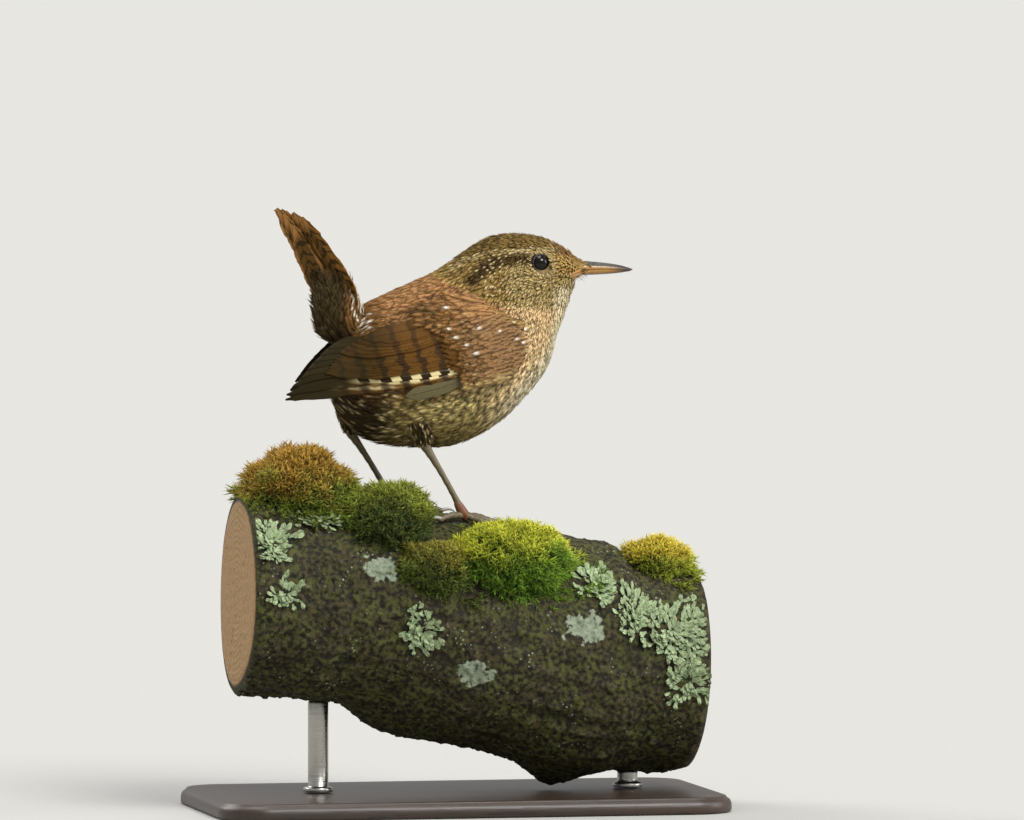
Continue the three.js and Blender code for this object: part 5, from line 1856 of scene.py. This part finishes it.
def scuted_tube(form, path, radii, sides, scutes, depth=0.13, pads=0.0):
    """A leg or toe whose front is stepped in overlapping scutes and whose sole swells in pads."""
    steps = max(24, scutes * 7)
    s = np.linspace(0, 1, steps)
    fine = catmull(path, s)
    radius = catmull(np.asarray(radii, float)[:, None], s)[:, 0]
    rings, share = tube(fine, radius, sides)
    centre = np.concatenate([[fine[0]] * 2, fine, [fine[-1]] * 2])
    out = rings - centre[:, None]
    far = np.linalg.norm(out, axis=-1, keepdims=True)
    turn = circle(sides)[None, :]
    phase = (share[:, None] * scutes) % 1
    # a scute rises slowly and drops sharply at its lower edge
    ridge = np.minimum(1, phase / 0.8) * fall(0.86, 1.0, phase)
    front = 0.35 + 0.65 * rise(-0.4, 0.5, np.cos(turn))
    step = depth * (ridge - 0.5) * front
    beads = pads * np.sin(np.pi * ((share[:, None] * scutes * 0.5) % 1)) * rise(0.2, 0.9, -np.cos(turn))
    rings = centre[:, None] + out * (1 + (step + beads)[..., None] / np.maximum(far, 0.2) * 0.9)
    shown = np.where(front > 0.5, 0.28 + 0.72 * ridge, 0.6)
    form.add(*loft(rings), ridge=np.append(shown.ravel(), [0.6, 0.6]))


def shank_form(leg):
    """The bare shank, from heel to foot."""
    form = Form()
    side, _, heel, _ = leg
    heel = np.array([heel[0], side * heel[1], heel[2]])
    ankle = foot_centre(leg)
    shares = np.array([0, 0.1, 0.3, 0.5, 0.7, 0.9, 1.0])
    path = heel + (ankle - heel) * shares[:, None]
    path[:, 0] += 0.25 * np.sin(np.pi * shares)
    scuted_tube(form, path, [1.15, 0.88, 0.68, 0.62, 0.64, 0.74, 0.85], 28, 9, 0.1)
    return form


def foot_form(leg):
    """The joint and the four toes, with scutes above and pads below."""
    form = Form()
    centre = foot_centre(leg)
    side, _, heel, _ = leg
    up = unit(np.array([heel[0], side * heel[1], heel[2]]) - centre)
    path = centre + np.array([-0.9, -0.2, 0.8, 1.9, 2.8])[:, None] * up
    rings, _ = tube(path, [0.8, 1.18, 1.14, 1.02, 0.84], 24)
    points, faces = loft(rings)
    lumps = 1 + 0.05 * noise(points, 0.7, 4)[:, None]
    red = 0.16 + 0.07 * np.maximum(0, (points - centre) @ up) + 0.2 * noise(points, 0.6, 6)
    form.add(centre + (points - centre) * lumps, faces, ridge=red)
    for toe, (_, run, _) in TOES.items():
        path = toe_path(leg, toe) - [0, 0, 0.12]
        radii = np.linspace(0.74, 0.5, len(path)) + [0.05, 0, 0.08, 0, 0.02]
        scuted_tube(form, path, radii, 20, int(run * 1.1), 0.12, 0.12)
    return form


def claws_form(leg):
    """Four curved claws."""
    form = Form()
    for toe, (_, _, run) in TOES.items():
        path = toe_path(leg, toe)
        end = path[-1]
        ahead = unit((path[-1] - path[-2]) * [1, 1, 0])
        s = np.linspace(0, 1, 22)
        reach = run * np.sin(1.35 * s)
        x, y = end[0] + ahead[0] * (reach - 0.2), end[1] + ahead[1] * (reach - 0.2)
        radius = 0.42 + (0.06 - 0.42) * s**0.9
        curl = 0.8 * np.sin(np.pi * s) + 0.5 * (1 - s * s) + (radius + 0.05) * s * s
        line = stacked(x, y, branch_top(x, y) + GAP + 0.1 + curl)
        rings, share = tube(line, radius, 16)
        centre = rings.mean(1, keepdims=True)
        rings = centre + (rings - centre) * [1, 1, 1.12]
        ridge = np.repeat(0.3 + 0.7 * rise(0.05, 0.3, share), 16)
        form.add(*loft(rings), ridge=np.append(ridge, [0.6, 0.6]))
    return form


class WREN_OT_legs(bpy.types.Operator):
    """Builds shanks, feet and claws"""

    bl_idname = "wren.legs"
    bl_label = "Legs"

    def execute(self, context):
        c = palette("horn", "leg joint claw")
        leg_skin = scuted_skin("leg_scutes", c["leg"], 0.45 * c["leg"], 0.42)
        foot_skin = scuted_skin("toe_scutes", 0.9 * c["leg"], c["joint"], 0.45)
        claw_horn = scuted_skin("claw_horn", c["claw"], 0.6 * c["claw"], 0.28)
        for name, leg in LEGS.items():
            put(f"scuted_shank_{name}", shank_form(leg), [leg_skin], [f"shank_{name}"])
            put(f"scuted_foot_{name}", foot_form(leg), [foot_skin], [f"foot_{name}"])
            nodes = [f"claw_{name}_{toe}" for toe in TOES]
            put(f"horn_claws_{name}", claws_form(leg), [claw_horn], nodes)
        return {"FINISHED"}


# Branch, moss and lichen

# Patches of leafy lichen: place along the branch, turn from the top, reach and number of lobes' share
LICHEN_PATCHES = [
    (-43.5, -0.95, 4.2, 0.10),
    (-33.4, -0.62, 3.6, 0.07),
    (-41.0, -1.5, 3.0, 0.04),
    (-11.0, -1.66, 3.6, 0.06),
    (23.4, -0.86, 3.4, 0.07),
    (33.0, -1.02, 4.6, 0.10),
    (42.5, -1.15, 7.6, 0.22),
    (47.0, -1.62, 4.6, 0.09),
    (-30.0, 1.05, 5.0, 0.08),
    (12.0, 1.2, 5.2, 0.09),
    (38.0, 0.95, 5.0, 0.08),
]
CRUST_PATCHES = [(22.0, -1.3, 5.0), (-22.0, -1.2, 4.0), (2.0, -1.9, 4.0), (30.0, 1.4, 5.0), (-14, 1.0, 4.5)]


def bark_height(x, turn, depth):
    """Height of the bark's ridges over the branch's plain surface."""
    around = turn * 22
    flat = stacked(x, np.cos(turn) * 22, np.sin(turn) * 22)
    long_ = stacked(x * 0.45, np.cos(turn) * 22, np.sin(turn) * 22)
    ridges = 1 - np.abs(noise(long_, 3.2, 11)) * 2
    plates = noise(flat, 7.5, 12)
    grit = noise(flat, 1.1, 13) + 0.5 * noise(flat, 0.55, 14)
    rings = np.sin(x / 1.9 + 2.2 * noise(flat, 6, 15) + 0.02 * around)
    warts = rise(0.45, 0.8, noise(flat, 1.9, 16)) + 0.7 * rise(0.5, 0.8, noise(flat, 0.9, 19))
    return depth * (0.45 * ridges + 0.55 * plates + 0.24 * grit + 0.14 * rings + 0.5 * warts)


def bark_form(context):
    """The bark as a closed shell of points around and along the branch."""
    form = Form()
    depth = context.scene.wren_perch.bark_depth / MM
    first, last = BRANCH[0, 0], BRANCH[-1, 0]
    x, turn = crossed(np.linspace(first, last, 277), circle(360, -np.pi))
    high = bark_height(x, turn, depth)
    near_end = np.minimum(x - first, last - x)
    high = high * rise(-0.4, 1.5, near_end) - 0.35 * fall(0.0, 0.6, near_end)
    # the bark lies low where the feet stand
    for leg in LEGS.values():
        for toe in TOES:
            for spot in toe_path(leg, toe):
                bare = fall(1.5, 3.0, np.hypot(x - spot[0], np.sin(turn) * 23 - spot[1]))
                high = np.where(np.cos(turn) > 0, high * (1 - bare) + np.minimum(high, 0.0) * bare, high)
    spots = branch_point(x, turn, high)
    crust = np.zeros(x.shape)
    for at, around, reach in CRUST_PATCHES:
        away = np.hypot(x - at, (turn - around) * 23) / reach
        crust = np.maximum(crust, fall(0.3, 1.3, away + 0.4 * noise(spots, 1.8, 17)))
    values = {"height": np.clip(0.5 + 0.5 * high / depth, 0, 1), "crust": crust}
    values = {key: np.append(grid.ravel(), [0.5, 0.5]) for key, grid in values.items()}
    form.add(*loft(spots), **values)
    return form


def sawn_ends():
    """The two sawn faces, with shallow saw marks and small cracks."""
    form = Form()
    for x, out in ((BRANCH[0, 0], -1), (BRANCH[-1, 0], 1)):
        _, radius, slope = branch_axis(np.array(x))
        share, turn = crossed(np.linspace(0.02, 0.955, 26), circle(100, -np.pi))
        edge = branch_point(np.full(share.shape, x), turn, -0.2)
        middle = np.array([x, 0, float(branch_axis(np.array(x))[0])])
        face = middle + (edge - middle) * share[..., None]
        along = unit(np.array([1.0, 0, float(slope)])) * out
        saw = 0.05 * np.sin(face[..., 2] * 2.4 + 0.4 * face[..., 1])
        ray = np.abs(((turn * 3.5 + 0.6 * noise(face, 5, 18)) % (2 * np.pi)) - np.pi)
        crack = 0.45 * fall(0.0, 0.1, ray) * rise(0.25, 0.5, share) * fall(0.75, 0.92, share)
        rim = 0.35 * rise(0.9, 0.955, share)
        top = face + along * (0.36 + saw - crack - rim)[..., None]
        back = face - along * 0.6
        far = np.concatenate([share, share[::-1]]) * float(radius)
        form.add(*loft(np.concatenate([top, back[::-1]])), out=np.append(far.ravel(), [0.0, 0.0]))
    return form


class WREN_OT_branch(bpy.types.Operator):
    """Builds the cut length of branch, with its bark and its sawn ends"""

    bl_idname = "wren.branch"
    bl_label = "Branch"

    def execute(self, context):
        bark = bark_surface()
        put("branch_bark", bark_form(context), [bark], ["perch_branch"])
        put("branch_sawn_ends", sawn_ends(), [sawn_wood()])
        return {"FINISHED"}


def cushion_point(direction, name, size=1.0):
    """A point of a moss cushion's outer surface, in a direction from its middle."""
    at, half, seed = MOSS[name]
    d = unit(np.asarray(direction, float))
    bumps = np.sin(4 * d[..., 0] + seed) * np.sin(4.6 * d[..., 1] + 2 * seed)
    reach = 1 + 0.07 * bumps + 0.04 * np.sin(9 * d[..., 2] + 5 * d[..., 0] + seed)
    return np.array(at) + d * (reach * size)[..., None] * np.array(half)


def sphere_directions(count, rng):
    """Evenly spread directions."""
    i = np.arange(count) + 0.5
    z = 1 - 2 * i / count
    turn = i * math.pi * (3 - math.sqrt(5)) + rng.normal(0, 0.15, count)
    flat = np.sqrt(1 - z * z)
    return stacked(flat * np.cos(turn), flat * np.sin(turn), z)


def above_branch(points):
    """Height of points over the branch's surface."""
    z, radius, slope = branch_axis(points[..., 0])
    return np.hypot(points[..., 1], (points[..., 2] - z) / np.hypot(1, slope)) - radius


def shoot_template(rng, leaves, open_, thin):
    """One moss shoot: a stem and its pointed leaves. Rows of (out, side, side) and faces."""
    points, faces = [], []

    def blade(base, tip, wide):
        start = len(points)
        axis = unit(tip - base)
        flank = unit(np.cross(axis, [0.13, 0.7, 0.4])) * wide
        keel = np.cross(axis, flank) * 0.5
        points.extend([base - flank, base + flank, base + keel, tip])
        faces.extend([(start, start + 2, start + 1), (start, start + 1, start + 3)])
        faces.extend([(start + 1, start + 2, start + 3), (start + 2, start, start + 3)])

    blade(np.zeros(3), np.array([1.0, 0.0, 0.0]), 0.06)
    for i in range(leaves):
        s = 0.1 + 0.72 * i / (leaves - 1)
        turn = i * 2.4 + rng.uniform(-0.4, 0.4)
        tilt = open_ * (1 - 0.5 * s) * rng.uniform(0.8, 1.2)
        run = (0.62 - 0.24 * s) * rng.uniform(0.7, 1.3)
        around = np.array([math.cos(tilt), math.sin(tilt) * math.cos(turn), math.sin(tilt) * math.sin(turn)])
        base = np.array([s, 0.0, 0.0])
        blade(base, base + run * around, thin * rng.uniform(0.8, 1.2))
    return np.array(points), np.array(faces)


# Looks of the cushions: share of all shoots, shoot length and width, leaves, how far the leaves
# open, blade width, colours of the top, the base of the shoots and the sides
# the base colours hold the shoots' own darker bases, deepened by painted shade inside the cushion
MOSS_LOOKS = {
    "mound": (0.27, 3.6, 1.7, 8, 0.7, 0.045, "#a98226", "#262a0b", "#6f8420"),
    "dark": (0.15, 2.9, 1.5, 8, 0.85, 0.048, "#8a962a", "#141a06", "#4a5e1c"),
    "bright": (0.24, 3.1, 1.5, 8, 0.85, 0.046, "#d0d136", "#182808", "#6d9420"),
    # the shade cushion takes darker colours than the bright one beside it: painted shade
    "shade": (0.11, 2.7, 1.5, 8, 0.85, 0.048, "#8f8a2a", "#151607", "#5c701e"),
    "tuft": (0.1, 3.1, 1.6, 8, 0.65, 0.044, "#d0bb34", "#30300c", "#93a128"),
}


def feet_spots():
    """Points that the shoots keep clear of."""
    spots = []
    for leg in LEGS.values():
        for toe in TOES:
            path = toe_path(leg, toe, 9)
            ahead = unit(path[-1] - path[-2])
            spots.extend(path)
            spots.extend(path[-1] + ahead * step for step in (1.2, 2.4, 3.6))
    return np.array(spots)


def moss_colours(name, points, high):
    """Colour of a cushion's points, from base to tip."""
    top, base, side = (np.array(linear(code)) for code in MOSS_LOOKS[name][6:])
    at, half, _ = MOSS[name]
    level = (points[..., 2] - at[2]) / half[2]
    drift = 0.45 * noise(points, 4.0, 21) + 0.25 * noise(points, 1.4, 22)
    tip = blend(np.broadcast_to(side, points.shape), top, rise(-0.1, 0.85, level + drift))
    # darker towards each shoot's base: the shoots' own darker base, with painted shade deep in the cushion
    return blend(np.broadcast_to(base, points.shape), tip, rise(0.05, 0.8, high))


def moss_ground(form, name):
    """The cushion's body, a lump of old brown shoots, coloured mostly with the shoots' base colour, painted
    shade included.
    """
    at = np.array(MOSS[name][0])
    lat, lon = crossed(np.linspace(0.03, np.pi - 0.03, 50), circle(90))
    d = stacked(np.sin(lat) * np.cos(lon), np.sin(lat) * np.sin(lon), np.cos(lat))
    spots = cushion_point(d, name, np.full(lat.shape, 0.82))
    spots = spots + unit(spots - at) * (0.5 * noise(spots, 1.6, 23) + 0.25 * noise(spots, 0.8, 24))[..., None]
    points, faces = loft(spots)
    d = unit(points - at)
    uv = stacked(np.arctan2(d[:, 1], d[:, 0]) / (2 * np.pi) + 0.5, d[:, 2] / 2 + 0.5)
    tint = moss_colours(name, points, np.full(len(points), 0.3))
    form.add(points, faces, tint=tint, uv=uv)


def stray_roots(name, count, rng):
    """Roots of single shoots on the bark around a cushion, thinning out from its edge."""
    at, half, _ = MOSS[name]
    bearing = rng.uniform(0, 2 * np.pi, count)
    reach = 0.85 + 0.2 * np.abs(rng.normal(0, 1, count)) + 0.14 * np.sin(3 * bearing + at[0])
    axis, radius, _ = branch_axis(np.array(at[0]))
    turn = math.atan2(at[1], at[2] - axis)
    x = at[0] + half[0] * reach * np.cos(bearing)
    x = np.clip(x, BRANCH[0, 0] + 0.8, BRANCH[-1, 0] - 0.8)
    return branch_point(x, turn + half[1] / radius * reach * np.sin(bearing) * 1.1, -0.1)


def moss_shoots(form, name, total, rng, blocked):
    """Living shoots all over the cushion, leaning outwards and up."""
    share, run, wide, leaves, open_, thin = MOSS_LOOKS[name][:6]
    d = sphere_directions(int(total * share * 1.9), rng)
    root = cushion_point(d, name, rng.uniform(0.78, 0.86, len(d)))
    top = cushion_point(d, name, np.full(len(d), 1.0))
    keep = (above_branch(top) > 0.2) & (d[:, 2] > -0.75)
    d, root = d[keep], root[keep]
    stray = stray_roots(name, int(total * share * 0.3), rng)
    at = np.array(MOSS[name][0])
    root, d = np.concatenate([root, stray]), np.concatenate([d, unit(stray - at)])
    clear = np.linalg.norm(root[:, None] - blocked[None], axis=-1).min(1)
    d, root, clear = d[clear > 1.5], root[clear > 1.5], clear[clear > 1.5]
    count = len(d)
    swell = noise(root, 3.0, 25)
    grow = unit(d + np.array([0, 0, 0.45]) + rng.normal(0, 0.22, (count, 3)))
    length_ = run * rng.uniform(0.6, 1.1, count) * (1 + 0.3 * swell) * rise(0.6, 3.6, clear)
    length_ = length_ * np.where(np.arange(count) < count - len(stray) * 0.9, 1.0, 0.7)
    side = unit(np.cross(grow, rng.normal(0, 1, (count, 3))))
    other = np.cross(grow, side)
    variants = [shoot_template(np.random.default_rng(90 + k), leaves, open_, thin) for k in range(5)]
    choice = rng.integers(0, len(variants), count)
    for k, (template, faces) in enumerate(variants):
        own = np.flatnonzero(choice == k)
        out, across, beyond = (template[:, i][None, :, None] for i in range(3))
        scale = length_[own, None, None]
        droop = np.array([0, 0, -0.12]) * out**2 * scale
        points = root[own, None] + grow[own, None] * out * scale + droop
        points = points + (side[own, None] * across + other[own, None] * beyond) * scale * wide / 1.3
        index = faces[None] + (np.arange(len(own)) * len(template))[:, None, None]
        shade = rng.normal(1, 0.14, (len(own), 1, 1))
        high = np.broadcast_to(template[None, :, 0], points.shape[:2])
        tint = np.clip(moss_colours(name, points, high) * shade, 0, 1)
        at = d[own]
        uv = stacked(np.arctan2(at[:, 1], at[:, 0]) / (2 * np.pi) + 0.5, at[:, 2] / 2 + 0.5)
        patch = stacked(template[:, 0], template[:, 1] + 0.5) * 0.003
        uv = np.clip(uv[:, None] + patch[None], 0, 1)
        form.add(points, [index.reshape(-1, 3)], tint=tint.reshape(-1, 3), uv=uv.reshape(-1, 2))


class WREN_OT_moss(bpy.types.Operator):
    """Builds the moss cushions: a dark ground of old shoots and a coat of living ones"""

    bl_idname = "wren.moss"
    bl_label = "Moss"

    def execute(self, context):
        leaf = leafy("moss_leaves", 0.7, 0.7, 0.05, 0.08)
        total = context.scene.wren_perch.shoots
        blocked = feet_spots()
        for number, name in enumerate(MOSS):
            rng = np.random.default_rng(context.scene.wren_plumage.seed + 60 + number)
            form = Form()
            moss_ground(form, name)
            moss_shoots(form, name, total, rng, blocked)
            put(f"moss_{name}", form, [leaf], [f"perch_moss_{name}"])
        return {"FINISHED"}


def lichen_lobe(form, at, turn, reach, pale, rng):
    """Adds one forked lobe, lying outwards from its patch's middle."""
    bearing = rng.uniform(0, 2 * np.pi)
    wave = 1 + 0.25 * math.sin(3 * bearing + at) + 0.15 * math.sin(5 * bearing + 2 * at)
    far = reach * wave * rng.uniform(0.0, 1.0) ** 0.75
    run, half = rng.uniform(1.1, 2.4), rng.uniform(0.28, 0.55)
    lean = bearing + rng.normal(0, 0.6)
    s, c = crossed(np.linspace(0, 1, 7), np.linspace(-1, 1, 6))
    wide = half * (0.4 + 0.9 * s**0.8) * np.sqrt(np.maximum(0.05, 1 - np.maximum(0, (s - 0.72) / 0.28) ** 2))
    # a notch parts the lobe's end in two, and its edges wave
    fork = 0.5 * rise(0.45, 1.0, s) * np.exp(-((c / 0.35) ** 2))
    edge = 1 + 0.22 * np.sin(9 * s + 6 * rng.random()) * np.abs(c)
    along = s * run - fork * run * 0.6
    across = c * wide * edge + 0.25 * np.sin(2.5 * s + rng.uniform(0, 6)) * s
    x = at + far * math.cos(bearing) + along * math.cos(lean) - across * math.sin(lean)
    around = turn + (far * math.sin(bearing) + along * math.sin(lean) + across * math.cos(lean)) / 23
    depth = bpy.context.scene.wren_perch.bark_depth / MM
    beside = np.array(turn + far * math.sin(bearing) / 23)
    bed = bark_height(np.array(at + far * math.cos(bearing)), beside, depth)
    curl = rng.uniform(0.2, 1.0)
    cup = 0.22 * c**2 * s
    high = float(bed) + 0.05 + curl * s**2 + cup + rng.uniform(0, 0.35)
    inside = BRANCH[0, 0] + 0.3, BRANCH[-1, 0] - 0.3
    x = np.clip(x, *inside)
    top, low = branch_point(x, around, high), branch_point(x, around, high - 0.2 * (1 - 0.4 * np.abs(c)))
    points, faces = plate(top, low)
    tone = rng.normal(1, 0.08)
    shade = 0.6 + 0.4 * rise(0.0, 0.6, s)
    rim = 1 + 0.16 * rise(0.6, 1.0, np.abs(c)) * s
    upper = pale[None, None] * (tone * shade * rim)[..., None]
    under = upper * np.array([0.35, 0.3, 0.25])
    tint = np.clip(np.concatenate([upper.reshape(-1, 3), under.reshape(-1, 3)]), 0, 1)
    u = (at + 50) / 104 + 0.02 * rng.random() + along / 104 * 0.5
    v = np.clip(turn / (2 * np.pi) + 0.5 + far * math.sin(bearing) / 144 + across / 144, 0, 1)
    uv = np.concatenate([stacked(np.clip(u, 0, 1), v).reshape(-1, 2)] * 2)
    form.add(points, faces, tint=tint, uv=uv)


class WREN_OT_lichen(bpy.types.Operator):
    """Builds the leafy lichens, patches of notched lobes that curl up at their ends"""

    bl_idname = "wren.lichen"
    bl_label = "Lichen"

    def execute(self, context):
        settings = context.scene.wren_perch
        rng = np.random.default_rng(context.scene.wren_plumage.seed + 80)
        form = Form()
        pale = np.array(settings.lichen[:])
        for at, turn, reach, share in LICHEN_PATCHES:
            for _ in range(int(settings.lobes * share)):
                lichen_lobe(form, at, turn, reach, pale, rng)
        put("branch_lichen", form, [leafy("lichen_lobes", 0.85, 0.6, 0.08, 0.03)])
        return {"FINISHED"}


# Stand and stage


def rounded_outline(grow, corner_points=14):
    """The base's outline, drawn in or out by a margin."""
    half_x, half_y = BASE_SIZE[0] / 2 - BASE_CORNER, BASE_SIZE[1] / 2 - BASE_CORNER
    spots = []
    for quarter, (cx, cy) in enumerate([(1, 1), (-1, 1), (-1, -1), (1, -1)]):
        for angle in np.linspace(0, np.pi / 2, corner_points) + quarter * np.pi / 2:
            reach = BASE_CORNER + grow
            spots.append((cx * half_x + reach * math.cos(angle), cy * half_y + reach * math.sin(angle)))
    return np.array(spots)


def base_form():
    """A thin board with a rounded, moulded edge."""
    form = Form()
    top = BASE_SIZE[2]
    # inset from the outline and height, from under the board to its top
    edge = [(2.0, 0.0), (0.7, 0.0), (0.2, 0.15), (0.0, 0.55), (0.0, 1.5), (0.12, 2.2)]
    edge += [(0.45, 2.75), (0.95, 3.05), (1.15, 3.3), (1.25, 3.48), (1.5, 3.58), (1.9, top)]
    edge += [(4.0, top), (9.0, top)]
    rings = []
    for inset, height in edge:
        outline = rounded_outline(-inset) if inset < 9 else rounded_outline(-9.0)
        rings.append(np.column_stack([outline, np.full(len(outline), height)]))
    form.add(*loft(np.array(rings)))
    return form


def rod_form(x):
    """A rod with a turned collar on the base, its top in the branch's underside."""
    form = Form()
    axis, radius, _ = branch_axis(np.array(float(x)))
    foot, top = BASE_SIZE[2] + GAP, float(axis - radius) - 0.2
    profile = [(0.4, foot), (ROD_RADIUS + 0.9, foot), (ROD_RADIUS + 1.0, foot + 0.15)]
    profile += [(ROD_RADIUS + 1.0, foot + 0.75), (ROD_RADIUS + 0.85, foot + 0.95)]
    profile += [(ROD_RADIUS + 0.25, foot + 1.05), (ROD_RADIUS, foot + 1.3)]
    profile += [(ROD_RADIUS, foot + 1.3 + (top - foot - 1.3) * s) for s in (0.25, 0.5, 0.75, 0.96)]
    profile += [(ROD_RADIUS * 0.9, top)]
    turn = circle(56)
    rings = [np.column_stack([x + r * np.cos(turn), r * np.sin(turn), np.full(56, z)]) for r, z in profile]
    form.add(*loft(np.array(rings)))
    return form


class WREN_OT_stand(bpy.types.Operator):
    """Builds the oak base and the two steel rods"""

    bl_idname = "wren.stand"
    bl_label = "Stand"

    def execute(self, context):
        put("oak_base", base_form(), [stained_oak()], ["stand_base"])
        steel = brushed_steel()
        for name, x in RODS.items():
            put(f"steel_rod_{name}", rod_form(x), [steel], [f"stand_rod_{name}"])
        return {"FINISHED"}


CAMERA_TARGET = (12.0, -2.55, 85.6)
CAMERA_LENS = 409.0
# Softboxes so large and far that they light the floor evenly: direction, degrees across, strength
SOFTBOXES = {
    "key_softbox": ((0.45, -0.95, 1.0), 26, 2.7),
    "front_softbox": ((1.3, -0.4, 0.5), 30, 1.2),
    "back_softbox": ((-0.8, 0.9, 1.0), 30, 1.3),
    "top_softbox": ((-0.1, 0.1, 1.5), 30, 1.2),
}


def lay_floor():
    """A wide flat sheet under the stand."""
    form = Form()
    reach = 60000.0
    corners = np.array([[-reach, -reach], [-reach, reach], [reach, reach], [reach, -reach]])
    top = np.column_stack([corners, np.full(4, -0.02)])
    faces = [np.array([[0, 3, 2, 1]]), np.array([[4, 5, 6, 7]])]
    faces += [np.array([[0, 1, 5, 4], [1, 2, 6, 5], [2, 3, 7, 6], [3, 0, 4, 7]])]
    form.add(np.concatenate([top, top - [0, 0, 5.0]]), faces)
    sheet = bpy.data.objects.new("studio_floor", form.mesh("studio_floor", True))
    sheet.data.materials.append(studio_paper())
    bpy.context.scene.collection.objects.link(sheet)


def set_lights(context):
    """Four softboxes and even light from all round."""
    for name, (place, wide, strength) in SOFTBOXES.items():
        light = bpy.data.lights.new(name, "SUN")
        light.angle = math.radians(wide)
        light.energy = strength
        lamp = bpy.data.objects.new(name, light)
        lamp.location = Vector(place)
        lamp.rotation_mode = "QUATERNION"
        lamp.rotation_quaternion = (-Vector(place)).to_track_quat("-Z", "Y")
        context.scene.collection.objects.link(lamp)
    world = bpy.data.worlds.new("even_surrounds")
    world.use_nodes = True
    ground = world.node_tree.nodes["Background"]
    ground.inputs["Color"].default_value = (*context.scene.wren_stage.sky[:], 1.0)
    ground.inputs["Strength"].default_value = 0.62
    context.scene.world = world
    context.scene.view_settings.view_transform = "Standard"


def set_camera(context):
    """The camera at the photograph's angle, level and far away."""
    stage = context.scene.wren_stage
    a, e = stage.azimuth, stage.elevation
    back = Vector((math.sin(a) * math.cos(e), -math.cos(a) * math.cos(e), math.sin(e)))
    data = bpy.data.cameras.new("camera")
    data.lens, data.sensor_width = CAMERA_LENS, 36.0
    data.clip_start, data.clip_end = 0.05, 200.0
    camera = bpy.data.objects.new("camera", data)
    camera.location = Vector(CAMERA_TARGET) * MM + back * stage.distance
    camera.rotation_mode = "QUATERNION"
    camera.rotation_quaternion = (-back).to_track_quat("-Z", "Y")
    context.scene.collection.objects.link(camera)
    context.scene.camera = camera


class WREN_OT_stage(bpy.types.Operator):
    """Lays the pale floor and sets up the soft light and the camera"""

    bl_idname = "wren.stage"
    bl_label = "Stage"

    def execute(self, context):
        lay_floor()
        set_lights(context)
        set_camera(context)
        return {"FINISHED"}


# Panel and start

OPERATORS = (
    WREN_OT_stage,
    WREN_OT_stand,
    WREN_OT_branch,
    WREN_OT_lichen,
    WREN_OT_moss,
    WREN_OT_legs,
    WREN_OT_skin,
    WREN_OT_coat,
    WREN_OT_wings,
    WREN_OT_tail,
    WREN_OT_bill,
    WREN_OT_eyes,
)
GROUPS = {
    "wren_plumage": WrenPlumage,
    "wren_flight": WrenFlight,
    "wren_horn": WrenHorn,
    "wren_perch": WrenPerch,
    "wren_stand": WrenStand,
    "wren_stage": WrenStage,
}


class WREN_PT_panel(bpy.types.Panel):
    """Lists the settings and the steps of the build"""

    bl_idname = "WREN_PT_panel"
    bl_label = "Mossy Branch Wren"
    bl_space_type = "VIEW_3D"
    bl_region_type = "UI"
    bl_category = "Wren"

    def draw(self, context):
        for name in GROUPS:
            box = self.layout.box()
            group = getattr(context.scene, name)
            box.label(text=name.replace("wren_", "").title())
            for key in group.bl_rna.properties.keys():
                if key not in ("rna_type", "name"):
                    box.prop(group, key)
        for operator in OPERATORS:
            self.layout.operator(operator.bl_idname)


def register():
    for group in GROUPS.values():
        bpy.utils.register_class(group)
    for name, group in GROUPS.items():
        setattr(bpy.types.Scene, name, PointerProperty(type=group))
    for operator in (*OPERATORS, WREN_PT_panel):
        bpy.utils.register_class(operator)


def unregister():
    for operator in (WREN_PT_panel, *reversed(OPERATORS)):
        bpy.utils.unregister_class(operator)
    for name in GROUPS:
        delattr(bpy.types.Scene, name)
    for group in reversed(GROUPS.values()):
        bpy.utils.unregister_class(group)


def main():
    register()
    for operator in OPERATORS:
        step = operator.bl_idname.split(".")[1]
        getattr(bpy.ops.wren, step)()
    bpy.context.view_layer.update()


if __name__ == "__main__":
    main()
